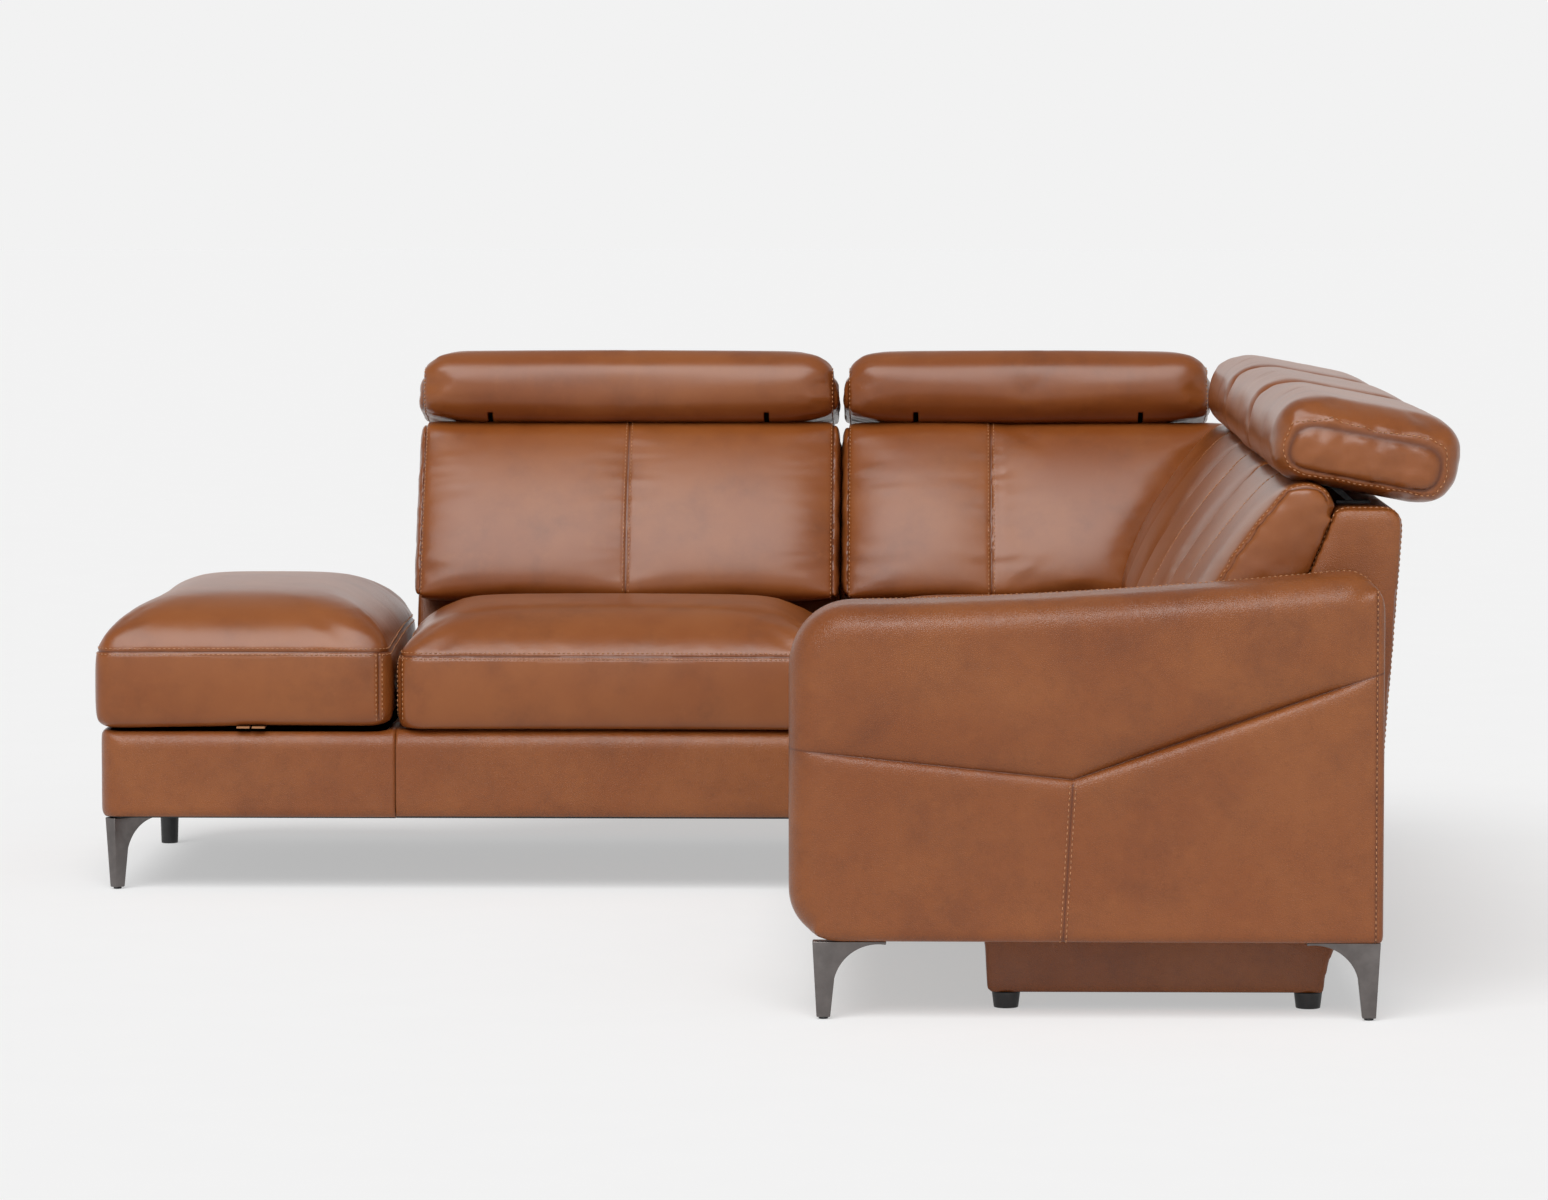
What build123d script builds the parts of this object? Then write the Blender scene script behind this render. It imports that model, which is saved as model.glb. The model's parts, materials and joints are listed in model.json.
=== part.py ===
"""Reclining corner sofa in leather: an arm with a powered reclining seat, a middle seat and a corner seat
along the main leg, a return seat and a backless end seat with storage along the other leg.

Lengths are in millimetres. Plan frame: X = 0 at the front of the main seats, which face -X, and Y = 0 at
the outer face of the arm. The finished part is moved so that its origin is at the middle of its footprint.
Each seat section is drawn in its own frame: x along its width, y backwards from its front edge, z up.
"""
import os
from math import atan2, cos, hypot, pi, radians, sin

from build123d import *

# Floor plan
arm_thickness = 150.0
seat_width = 725.0
return_width = 751.0
end_seat_width = 518.0
corner_offset = 36.0
side_gap = 6.0
cushion_gap = 4.0
touch_gap = 0.3

# Heights
base_bottom = 123.0
base_top = 275.0
webbing_thickness = 3.0
seat_top = 479.0
seat_seam = 402.0
lid_top = 502.0
lid_seam = 407.0
lid_gap = 6.0

# Base boxes
base_inset = 8.0
back_depth = 278.0
base_rail = 45.0
base_wall = 25.0
cross_rail_setback = 10.0
cross_rail_width = 55.0
base_edge_radius = 14.0

# Seat cushions
seat_depth = 575.0
cushion_corner = 34.0
crown_reach = 140.0
hem = 10.0
side_draw = 4.0
lid_taper = 26.0

# Back frames and back cushions; pairs are run and rise from the rear edge of the seat at its crown
frame_setback = 24.0
frame_front_peak = (211.0, 252.0)
frame_rise = 258.0
frame_lean = 33.0
frame_corner = 16.0
back_toe = (-34.0, -24.0)
back_belly = (49.0, 146.0)
back_shoulder = (136.0, 277.0)
back_crest_place = (169.0, 292.0)
back_rear_rise = 253.0
end_draw = 20.0
end_reach = 44.0
seam_draw = 5.0
seam_half = 16.0
back_crown = 5.0

# Headrests
pad_pivot_place = (155.0, 336.0)
pad_pivot_radius = 38.0
pad_length = 276.0
pad_thickness = 127.0
pad_tilt = 11.5
pad_top_radius = 48.0
pad_rear_radius = 42.0
pad_end_draw = 22.0
pad_end_reach = 34.0
pad_end_gap = 5.0
corner_pad_end = 635.0
return_pad_overhang = 14.0
brace_inset = 130.0
brace_thickness = 8.0
brace_width = 16.0
brace_foot_span = (65.0, 115.0)
brace_foot_thickness = 4.0
slot_clearance = 2.0
slot_reach = 100.0
slot_fan = (-25.0, -78.0, -130.0)
pin_radius = 5.0
pin_grip = 20.0
running_clearance = 0.05

# Arm
arm_front = -12.0
arm_setback = 4.0
arm_bottom = 114.0
arm_top_front = 606.0
arm_top_rear = 649.0
arm_top_sag = 12.0
arm_front_radius = 92.0
arm_toe_radius = 74.0
arm_heel_radius = 50.0
arm_edge_radius = 20.0
arm_seam_front = 394.0
arm_seam_point = (400.0, 351.0)
arm_seam_rear = 507.0
lower_cover_recess = 3.0
arm_board_thickness = 16.0
arm_board_margin = 60.0

# Switch on the inside of the arm
switch_place = (250.0, 545.0)
switch_size = (74.0, 40.0)
switch_thickness = 2.0
button_size = (24.0, 22.0)
button_pitch = 32.0
button_height = 7.0
button_stand_out = 4.0
button_pocket = 8.0
button_clearance = 0.4

# Legs
leg_reach = 107.0
leg_thickness = 26.0
leg_foot_thickness = 16.0
leg_neck = 32.0
leg_sweep = 49.0
leg_foot_inset = 6.0
leg_foot_width = 20.0
leg_plate = 5.0
glide_radius = 7.0
glide_height = 3.0
arm_leg_front_inset = 35.0
arm_leg_rear_inset = 3.0
arm_leg_side = 14.0
end_leg_inset = 16.0
support_leg_top = 19.0
support_leg_foot = 15.0
support_leg_inset = 22.0
end_support_inset = (30.0, 90.0)

# Reclining mechanism
rail_bottom = 24.0
rail_height = 30.0
rail_width = 30.0
rail_front = 271.0
rail_rear_inset = 45.0
rail_cover = 10.0
far_side_setback = 20.0
foot_insets = (35.0, 54.0)
foot_top_radius = 21.0
foot_radius = 18.0
skirt_thickness = 12.0
skirt_heel = 30.0
skirt_slant = 7.5
skirt_hollow = 6.0
tube_size = 25.0
tube_insets = (131.0, 42.0)
tube_lift = 3.0
track_width = 30.0
track_height = 22.0
track_lead = 16.0
motor_room = 40.0
motor_block = (54.0, 60.0, 62.0)
motor_radius = 25.0
motor_length = 110.0
inlet_size = (22.0, 34.0, 26.0)
inlet_recess = 8.0
inlet_wall = 4.0
nut_length = 60.0
nut_room = 46.0
nut_wall = 8.0
nut_clearance = 0.3
nut_strap = 20.0
rear_panel_thickness = 26.0
rear_panel_top = 262.0

# Sliding carriage of the reclining seat
plate_inset = 15.0
plate_thickness = 5.0
plate_front_inset = 42.0
plate_rear_reach = 45.0
plate_arm = 40.0
deck_thickness = 14.0
deck_front = 80.0
deck_rear_reach = 15.0
back_pivot_setback = 125.0
back_pivot_lift = 31.0
back_frame_lift = 25.0
ear_radius = 24.0
ear_room = 6.0
pivot_radius = 6.0
pivot_head = 2.0
pivot_head_lip = 4.0

# Folding footrest, its links drawn as folded
link_pivot = (115.0, 240.0)
link_length = 200.0
lower_link_angle = -148.0
upper_link_angle = 30.0
link_width = 24.0
link_thickness = 5.0
link_gap = 1.0
footrest_bottom = 127.0
footrest_top = 258.0
footrest_board_thickness = 15.0
footrest_depth = 60.0
footrest_edge = 22.0

# Storage under the end seat
box_wall = 20.0
box_floor = 12.0
box_corner = 40.0
lid_board_thickness = 15.0
lid_board_inset = 46.0
lid_rear_overhang = 4.5
lid_overhang = 11.0
hinge_inset = 110.0
hinge_offset = 6.0
hinge_plate = 8.0
hinge_drop = 40.0
hinge_slot = 24.0
hinge_notch = 2.0
lid_pin_radius = 3.75
tab_size = (22.0, 26.0, 3.0)
tab_places = (258.0, 284.0)
tab_inset = 8.0

# Joining plates and webbing
connector_size = (46.0, 60.0, 4.0)
connector_depth = 420.0
strap_width = 50.0
strap_count = 5
strap_overlap = 12.0


def from_seat(place):
    """Depth and height of a point given by its run and rise from the seat's rear edge at its crown."""
    return (seat_depth + place[0], seat_top + place[1])


# Places worked out from the driving dimensions
base_depth = seat_depth + back_depth
cross_rail_front = seat_depth + cross_rail_setback
frame_top = seat_top + frame_rise
frame_front_low = (seat_depth + frame_setback, base_top)
frame_front_high = from_seat(frame_front_peak)
frame_rear_high = base_depth + frame_lean
back_front_low = from_seat(back_toe)
back_front_mid = from_seat(back_belly)
back_front_high = from_seat(back_shoulder)
back_crest = from_seat(back_crest_place)
back_rear_high = seat_top + back_rear_rise
pad_pivot = from_seat(pad_pivot_place)
brace_foot = (pad_pivot[0] + brace_foot_span[0], pad_pivot[0] + brace_foot_span[1])
arm_rear = base_depth - arm_setback
arm_leg_front = arm_front + arm_leg_front_inset
arm_leg_rear = arm_rear - arm_leg_rear_inset
rail_rear = arm_rear - rail_rear_inset
foot_places = (rail_front + foot_insets[0], rail_rear - foot_insets[1])
tube_places = (rail_front + tube_insets[0], rail_rear - tube_insets[1])
track_front = tube_places[0] - track_lead
track_rear = base_depth - rear_panel_thickness - motor_room
nut_rear = track_rear - motor_block[0] - nut_room
nut_place = (nut_rear - nut_length, nut_rear)
deck_rear = seat_depth + deck_rear_reach
back_pivot = (seat_depth + back_pivot_setback, base_top + back_pivot_lift)
back_frame_bottom = base_top + back_frame_lift
plate_front = rail_front + plate_front_inset
plate_rear = back_pivot[0] + plate_rear_reach
lid_board_rear = base_depth + hinge_offset + lid_board_thickness / 2
lid_depth = lid_board_rear + lid_rear_overhang
return_front = arm_thickness + 2 * seat_width
return_left = corner_offset - return_width
end_left = return_left - end_seat_width
seat_bottom = base_top + webbing_thickness + touch_gap
seat_heights = (seat_bottom, seat_seam, seat_top)
lid_bottom = base_top + lid_gap
pad_rear = (pad_length - pad_pivot_radius - pad_rear_radius) * cos(radians(pad_tilt))
pad_rear += (pad_thickness - pad_pivot_radius - pad_rear_radius) * sin(radians(pad_tilt)) + pad_rear_radius
section_depth = pad_pivot[0] + pad_rear
middle_x = (end_left + section_depth) / 2
middle_y = (return_front + section_depth) / 2
to_origin = Pos(-middle_x, -middle_y, 0)

# Steps of the rounded ends, hems and crowns, as shares of their reach and as turns in degrees
END_STEPS = (0.0, 0.06, 0.2, 0.45, 1.0)
BULGE_STEPS = (0.2, 0.5, 0.8)
HEM_STEPS = (0.0, 0.3, 1.0)
CROWN_TURNS = (0, 20, 38, 54, 68, 80, 90)

# How a quarter arc passes its corner: its middle as a share of the radius, and of the chord's middle
ARC_INSET = 1 - 0.5 ** 0.5
ARC_LIFT = 2 - 2 ** 0.5

# How much a cushion's corners round off more towards its crown, and how far a cut passes a face
CORNER_GROWTH = 0.25
CUT_PAST = 1.0


def quarter_round(share):
    """How far a quarter round is drawn in, at a share of its reach from the edge."""
    return 1 - (1 - (1 - share) ** 2) ** 0.5


def block(x_span, y_span, z_span):
    """A box between two corners."""
    spans = (x_span, y_span, z_span)
    size = [high - low for low, high in spans]
    return Pos(*[low for low, _ in spans]) * Box(*size, align=(Align.MIN, Align.MIN, Align.MIN))


def rod_x(radius, x_span, depth, height):
    """A round bar along the width."""
    length = x_span[1] - x_span[0]
    bar = Rot(0, 90, 0) * Cylinder(radius, length, align=(Align.CENTER, Align.CENTER, Align.MIN))
    return Pos(x_span[0], depth, height) * bar


def stand_up(edges, x):
    """A closed outline in depth and height, stood upright at one place along the width."""
    return Plane.YZ.offset(x) * make_face(edges)


def plate(edges, x_span):
    """An upright plate with the outline given in depth and height."""
    return extrude(stand_up(edges, x_span[0]), x_span[1] - x_span[0])


def group(solids):
    """Separate solids that are kept together under one name."""
    return Compound(children=[solid for shape in solids for solid in shape.solids()])


def along_main(far_end):
    """The place of a section of the main leg, whose width runs back from its far end."""
    return Location((0, far_end, 0), (0, 0, -90))


def along_return(left_end):
    """The place of a section of the return leg."""
    return Location((left_end, return_front, 0))


def rounded_outline(corners, radius, draw):
    """Edges round four corners, each side drawn in a little between its ends."""
    middle = sum((Vector(*corner) for corner in corners), Vector()) / 4
    edges = []
    entries = []
    exits = []
    for index, corner in enumerate(corners):
        here = Vector(*corner)
        before = Vector(*corners[index - 1])
        after = Vector(*corners[(index + 1) % 4])
        entry = here + (before - here).normalized() * radius
        leave = here + (after - here).normalized() * radius
        edges.append(ThreePointArc(entry, here + ((entry + leave) / 2 - here) * ARC_LIFT, leave))
        entries.append(entry)
        exits.append(leave)
    for index, leave in enumerate(exits):
        entry = entries[(index + 1) % 4]
        half_way = (leave + entry) / 2
        inward = (middle - half_way).normalized()
        edges.append(ThreePointArc(leave, half_way + inward * draw, entry))
    return edges


def crowned_cushion(front, rear, y_span, heights):
    """A box cushion; front and rear are its width spans, heights its bottom, seam and crown."""
    bottom, seam, crown = heights
    levels = [(bottom + hem * share, hem * quarter_round(share)) for share in HEM_STEPS]
    for turn in CROWN_TURNS:
        angle = radians(turn)
        levels.append((seam + (crown - seam) * sin(angle), crown_reach * (1 - cos(angle))))
    sections = []
    for height, inset in levels:
        low, high = y_span[0] + inset, y_span[1] - inset
        corners = (
            (front[0] + inset, low),
            (front[1] - inset, low),
            (rear[1] - inset, high),
            (rear[0] + inset, high),
        )
        radius = cushion_corner + inset * CORNER_GROWTH
        sections.append(Pos(0, 0, height) * make_face(rounded_outline(corners, radius, side_draw)))
    return loft(sections, ruled=True)


def frame_front(height):
    """Depth of the sloping front of a back frame at one height."""
    rise = frame_front_high[1] - frame_front_low[1]
    run = frame_front_high[0] - frame_front_low[0]
    return frame_front_low[0] + (height - frame_front_low[1]) * run / rise


def frame_rear(height):
    """Depth of the leaning outside back at one height."""
    share = (height - base_top) / (frame_top - base_top)
    return base_depth + share * frame_lean


def back_frame(width, bottom):
    """Wedge-shaped back frame: sloping front for the cushion, outside back, rounded top edges."""
    outline = Polyline(
        (frame_front(bottom), bottom),
        frame_front_high,
        (frame_front_high[0] + frame_corner / 2, frame_top),
        (frame_rear_high - frame_corner, frame_top),
        (frame_rear_high, frame_top - frame_corner),
        (frame_rear(bottom), bottom),
        close=True,
    )
    return plate(outline, (0, width))


def back_section(x, draw):
    """One section of a back cushion, its free faces drawn in towards the frame."""
    lean = atan2(frame_front_high[0] - frame_front_low[0], frame_front_high[1] - frame_front_low[1])
    inward = (draw * cos(lean), -draw * sin(lean))

    def drawn(point):
        return (point[0] + inward[0], point[1] + inward[1])

    low_rear = (frame_front(back_front_low[1]), back_front_low[1])
    high_rear = (frame_front(back_rear_high), back_rear_high)
    front_low = (back_front_low[0] + draw, back_front_low[1])
    edges = [
        Line(low_rear, front_low),
        ThreePointArc(front_low, drawn(back_front_mid), drawn(back_front_high)),
        ThreePointArc(drawn(back_front_high), drawn(back_crest), high_rear),
        Line(high_rear, low_rear),
    ]
    return stand_up(edges, x)


def end_stations(reach, depth):
    """Places from an end of a cushion, and how far it is drawn in there."""
    return [(reach * share, depth * quarter_round(share)) for share in END_STEPS]


def bulge_stations(start, stop):
    """Places between two seams, and how far the cushion swells out there."""
    length = stop - start
    return [(start + length * share, -back_crown * sin(pi * share)) for share in BULGE_STEPS]


def back_cushion(width, seam):
    """Back cushion with a sewn seam up the middle, full on both sides of it and drawn in at its ends."""
    ends = end_stations(end_reach, end_draw)
    stations = ends + bulge_stations(end_reach, seam - seam_half)
    stations += [(seam - seam_half, 0), (seam, seam_draw), (seam + seam_half, 0)]
    stations += bulge_stations(seam + seam_half, width - end_reach)
    stations += [(width - x, draw) for x, draw in reversed(ends)]
    return loft([back_section(x, draw) for x, draw in stations], ruled=True)


def pad_point(along, up):
    """A point of the headrest, given along and across it from its pivot, in depth and height."""
    tilt = radians(pad_tilt)
    depth = pad_pivot[0] + along * cos(tilt) + up * sin(tilt)
    return (depth, pad_pivot[1] - along * sin(tilt) + up * cos(tilt))


def pad_section(x, draw):
    """One section of a headrest: its lower front corner turns about the pivot."""
    low = draw - pad_pivot_radius
    rear = pad_length - pad_pivot_radius - draw
    high = pad_thickness - pad_pivot_radius - draw
    corners = (
        (low, low, pad_pivot_radius, 1, 1),
        (rear, low, pad_rear_radius, -1, 1),
        (rear, high, pad_rear_radius, -1, -1),
        (low, high, pad_top_radius, 1, -1),
    )
    edges = []
    ends = []
    for index, (along, up, radius, side, rise) in enumerate(corners):
        round_off = radius - draw
        over = (along + side * round_off, up)
        beside = (along, up + rise * round_off)
        bulge = round_off * ARC_INSET
        middle = (along + side * bulge, up + rise * bulge)
        path = (beside, middle, over) if index % 2 == 0 else (over, middle, beside)
        edges.append(ThreePointArc(*[pad_point(*point) for point in path]))
        ends.append((path[0], path[2]))
    for index, (_, leave) in enumerate(ends):
        entry = ends[(index + 1) % 4][0]
        edges.append(Line(pad_point(*leave), pad_point(*entry)))
    return stand_up(edges, x)


def brace_spots(width):
    """Places of the two hinge braces along a headrest."""
    return (brace_inset, width - brace_inset)


def headrest(width):
    """Folding headrest, slotted for its two braces and bored for their pins."""
    ends = end_stations(pad_end_reach, pad_end_draw)
    stations = ends + [(width - x, draw) for x, draw in reversed(ends)]
    pad = loft([pad_section(x, draw) for x, draw in stations], ruled=True)
    for spot in brace_spots(width):
        half = brace_thickness / 2 + slot_clearance
        slot = plate(brace_slot_outline(), (spot - half, spot + half))
        slot += rod_x(brace_width / 2 + slot_clearance, (spot - half, spot + half), *pad_pivot)
        grip = brace_thickness / 2 + pin_grip + slot_clearance
        bore = rod_x(pin_radius + running_clearance, (spot - grip, spot + grip), *pad_pivot)
        pad = pad - slot - bore
    return pad


def brace_slot_outline():
    """Fan-shaped slot that leaves the brace free while the headrest is raised."""
    rim = [(slot_reach * cos(radians(turn)), slot_reach * sin(radians(turn))) for turn in slot_fan]
    fan = [(pad_pivot[0] + along, pad_pivot[1] + up) for along, up in rim]
    start = (pad_pivot[0], pad_pivot[1] + brace_width / 2 + slot_clearance)
    return Polyline(start, *fan, close=True)


def headrest_braces(width):
    """Two braces on top of a back frame, each with a pin through the headrest."""
    foot = (sum(brace_foot) / 2, frame_top + brace_foot_thickness)
    run = (pad_pivot[0] - foot[0], pad_pivot[1] - foot[1])
    length = hypot(*run)
    across = (-run[1] / length * brace_width / 2, run[0] / length * brace_width / 2)
    arm_outline = Polyline(
        (foot[0] + across[0], frame_top),
        (foot[0] - across[0], frame_top),
        (pad_pivot[0] - across[0], pad_pivot[1] - across[1]),
        (pad_pivot[0] + across[0], pad_pivot[1] + across[1]),
        close=True,
    )
    braces = []
    for spot in brace_spots(width):
        half = brace_thickness / 2
        span = (spot - half, spot + half)
        brace = plate(arm_outline, span) + rod_x(brace_width / 2, span, *pad_pivot)
        brace += block((spot - brace_width, spot + brace_width), brace_foot, (frame_top, foot[1]))
        brace += rod_x(pin_radius, (spot - half - pin_grip, spot + half + pin_grip), *pad_pivot)
        braces.append(brace)
    return braces


def base_box(width):
    """Timber base under a fixed seat: a ring of rails with a cross rail under the seat's rear edge."""
    box = block((0, width), (base_inset, base_depth), (base_bottom, base_top))
    front_edges = box.edges().filter_by(Axis.X).group_by(Axis.Y)[0]
    box = fillet(front_edges, base_edge_radius)
    well = (base_wall, width - base_wall)
    right_through = (base_bottom - CUT_PAST, base_top + CUT_PAST)
    box -= block(well, (base_inset + base_rail, cross_rail_front), right_through)
    box -= block(well, (cross_rail_front + cross_rail_width, base_depth - base_wall), right_through)
    return box


def webbing(width):
    """Straps from the front rail to the cross rail of a base."""
    pitch = (width - 2 * base_wall) / strap_count
    span = (base_inset + base_rail - strap_overlap, cross_rail_front + strap_overlap)
    level = (base_top, base_top + webbing_thickness)
    places = [base_wall + pitch * (index + 0.5) for index in range(strap_count)]
    return [block((at - strap_width / 2, at + strap_width / 2), span, level) for at in places]


def arm_outline():
    """Side view of the arm along X and up: rounded toe and front, hollow top, rounded heel."""
    toe = arm_toe_radius
    heel = arm_heel_radius
    top_start = arm_front + arm_front_radius
    slope = (arm_top_rear - arm_top_front) / (arm_rear - top_start)
    heel_start = (arm_rear - heel, arm_top_rear - heel * slope)
    top_middle = ((top_start + heel_start[0]) / 2, (arm_top_front + heel_start[1]) / 2 - arm_top_sag)
    return [
        Line((arm_rear, arm_bottom), (arm_front + toe, arm_bottom)),
        ThreePointArc(
            (arm_front + toe, arm_bottom),
            (arm_front + toe * ARC_INSET, arm_bottom + toe * ARC_INSET),
            (arm_front, arm_bottom + toe),
        ),
        Line((arm_front, arm_bottom + toe), (arm_front, arm_top_front - arm_front_radius)),
        ThreePointArc(
            (arm_front, arm_top_front - arm_front_radius),
            (arm_front + arm_front_radius * ARC_INSET, arm_top_front - arm_front_radius * ARC_INSET),
            (top_start, arm_top_front),
        ),
        ThreePointArc((top_start, arm_top_front), top_middle, heel_start),
        ThreePointArc(
            heel_start,
            (arm_rear - heel * ARC_INSET, arm_top_rear - heel * ARC_INSET),
            (arm_rear, arm_top_rear - heel),
        ),
        Line((arm_rear, arm_top_rear - heel), (arm_rear, arm_bottom)),
    ]


def arm_parts():
    """Padded top, lower cover and inner board of the arm, parted at the V seam."""
    face = Plane.XZ * make_face(arm_outline())
    arm = extrude(face, arm_thickness, dir=(0, 1, 0))
    outer_rim = arm.faces().sort_by(Axis.Y)[0].edges()
    arm = fillet(outer_rim, arm_edge_radius)
    board = block(
        (arm_front + arm_board_margin, arm_rear - arm_board_margin),
        ((arm_thickness - arm_board_thickness) / 2, (arm_thickness + arm_board_thickness) / 2),
        (arm_bottom + arm_board_margin, arm_top_front - arm_board_margin),
    )
    past_front = arm_front - arm_edge_radius
    past_rear = arm_rear + arm_edge_radius
    past_top = arm_top_rear + arm_edge_radius
    seam = Polyline(
        (past_front, arm_seam_front),
        arm_seam_point,
        (past_rear, arm_seam_rear),
        (past_rear, past_top),
        (past_front, past_top),
        close=True,
    )
    above = extrude(Plane.XZ * make_face(seam), arm_thickness, dir=(0, 1, 0))
    recess = block((past_front, past_rear), (0, lower_cover_recess), (arm_bottom, past_top))
    upper = (arm & above) - board - switch_pockets()
    lower = arm - above - board - recess
    return upper, lower, board


def button_places():
    """Middles of the two buttons along the arm."""
    return [switch_place[0] + side * button_pitch / 2 for side in (-1, 1)]


def button_block(at, y_span, spare):
    """A block of one button's outline, with spare room round it."""
    half_width = button_size[0] / 2 + spare
    half_height = button_size[1] / 2 + spare
    heights = (switch_place[1] - half_height, switch_place[1] + half_height)
    return block((at - half_width, at + half_width), y_span, heights)


def switch_pockets():
    """Pockets in the arm behind the two buttons."""
    span = (arm_thickness - button_pocket, arm_thickness)
    pockets = [button_block(at, span, button_clearance) for at in button_places()]
    return pockets[0] + pockets[1]


def switch_panel():
    """Plate round the two buttons, on the inner face of the arm."""
    half = [size / 2 for size in switch_size]
    span = (arm_thickness, arm_thickness + switch_thickness)
    panel = block(
        (switch_place[0] - half[0], switch_place[0] + half[0]),
        span,
        (switch_place[1] - half[1], switch_place[1] + half[1]),
    )
    for at in button_places():
        panel -= button_block(at, span, button_clearance)
    return panel


def button(at):
    """Push button that stands out of the switch plate."""
    face = arm_thickness + button_stand_out
    return button_block(at, (face - button_height, face), 0)


def metal_leg(height):
    """Tapered leg: x runs inwards from its outer edge, the blade sweeps up into a mounting arm."""
    foot = glide_height
    under_plate = height - leg_plate
    outline = [
        Line((leg_foot_inset, foot), (0, height)),
        Line((0, height), (leg_reach, height)),
        Line((leg_reach, height), (leg_reach, under_plate)),
        ThreePointArc(
            (leg_reach, under_plate),
            (leg_neck + (leg_reach - leg_neck) * ARC_INSET, under_plate - leg_sweep * ARC_INSET),
            (leg_neck, under_plate - leg_sweep),
        ),
        Line((leg_neck, under_plate - leg_sweep), (leg_foot_inset + leg_foot_width, foot)),
        Line((leg_foot_inset + leg_foot_width, foot), (leg_foot_inset, foot)),
    ]
    half = leg_thickness / 2
    blade = Pos(0, half, 0) * extrude(Plane.XZ * make_face(outline), leg_thickness)
    foot_half = leg_foot_thickness / 2
    side = Polyline((-foot_half, foot), (foot_half, foot), (half, height), (-half, height), close=True)
    return blade & plate(side, (0, leg_reach))


def glide(x, y):
    """Small round glide under a leg, whose foot is at the given place."""
    return Pos(x, y, 0) * Cylinder(glide_radius, glide_height, align=(Align.CENTER, Align.CENTER, Align.MIN))


def leg_places():
    """Place, height and name of each metal leg."""
    end_corner = end_left + lid_overhang + end_leg_inset
    front_corner = return_front + base_inset + end_leg_inset
    side = arm_leg_side + leg_thickness / 2
    return {
        "front_arm_leg": (Location((arm_leg_front, side, 0)), arm_bottom),
        "rear_arm_leg": (Location((arm_leg_rear, side, 0), (0, 0, 180)), arm_bottom),
        "ottoman_leg": (Location((end_corner, front_corner, 0), (0, 0, 45)), base_bottom),
    }


def support_leg(x, y):
    """Straight black leg under a base."""
    leg = Cone(support_leg_foot, support_leg_top, base_bottom, align=(Align.CENTER, Align.CENTER, Align.MIN))
    return Pos(x, y, 0) * leg


def support_places():
    """Places of the straight legs: under the corner base and the back of the end seat."""
    near = support_leg_inset
    corner_x = (corner_offset + near, base_depth - near)
    corner_y = (return_front + base_inset + near, return_front + base_depth - near)
    places = [(x, y) for x in corner_x for y in corner_y]
    end_x = end_left + lid_overhang + end_support_inset[0]
    places.append((end_x, return_front + base_depth - end_support_inset[1]))
    return places


def mirrored(shape, setback=0.0):
    """A piece of the near side of the reclining seat and its twin on the far side, set back where asked."""
    middle = Plane.XZ.offset(-(arm_thickness + seat_width / 2))
    return [shape, Pos(setback, 0, 0) * mirror(shape, about=middle)]


def upright(edges, y_span):
    """An upright plate of the mechanism, with the outline given along X and up."""
    return Pos(0, y_span[0], 0) * extrude(Plane.XZ * make_face(edges), y_span[1] - y_span[0], dir=(0, 1, 0))


def rod_y(radius, y_span, x, height):
    """A round bar along Y."""
    length = y_span[1] - y_span[0]
    bar = Rot(-90, 0, 0) * Cylinder(radius, length, align=(Align.CENTER, Align.CENTER, Align.MIN))
    return Pos(x, y_span[0], height) * bar


rail_top = rail_bottom + rail_height
near_rail = (arm_thickness, arm_thickness + rail_width)
near_plate = (arm_thickness + plate_inset, arm_thickness + plate_inset + plate_thickness)
lower_link_span = (near_plate[1] + link_gap, near_plate[1] + link_gap + link_thickness)
upper_link_span = (lower_link_span[1] + link_gap, lower_link_span[1] + link_gap + link_thickness)
bracket_span = (upper_link_span[1] + link_gap, upper_link_span[1] + link_gap + link_thickness)
deck_top = seat_bottom
deck_bottom = deck_top - deck_thickness
seat_middle = arm_thickness + seat_width / 2
tube_bottom = rail_bottom + tube_lift
tube_top = tube_bottom + tube_size


def link_end(start, angle):
    """Far pivot of a link that leans forwards by the angle above the level."""
    turn = radians(angle)
    return (start[0] - link_length * cos(turn), start[1] + link_length * sin(turn))


knee = link_end(link_pivot, lower_link_angle)
footrest_pivot = link_end(knee, upper_link_angle)


def skirt():
    """Leather-covered skirt beside a base rail, its rear end cut in a hollow curve."""
    heel = rail_rear - skirt_heel
    outline = [
        Line((rail_front + skirt_slant, rail_bottom), (heel, rail_bottom)),
        ThreePointArc(
            (heel, rail_bottom),
            (heel + skirt_hollow, (rail_bottom + arm_bottom) / 2),
            (rail_rear, arm_bottom),
        ),
        Line((rail_rear, arm_bottom), (rail_front, arm_bottom)),
        Line((rail_front, arm_bottom), (rail_front + skirt_slant, rail_bottom)),
    ]
    return upright(outline, (arm_thickness - skirt_thickness, arm_thickness))


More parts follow.
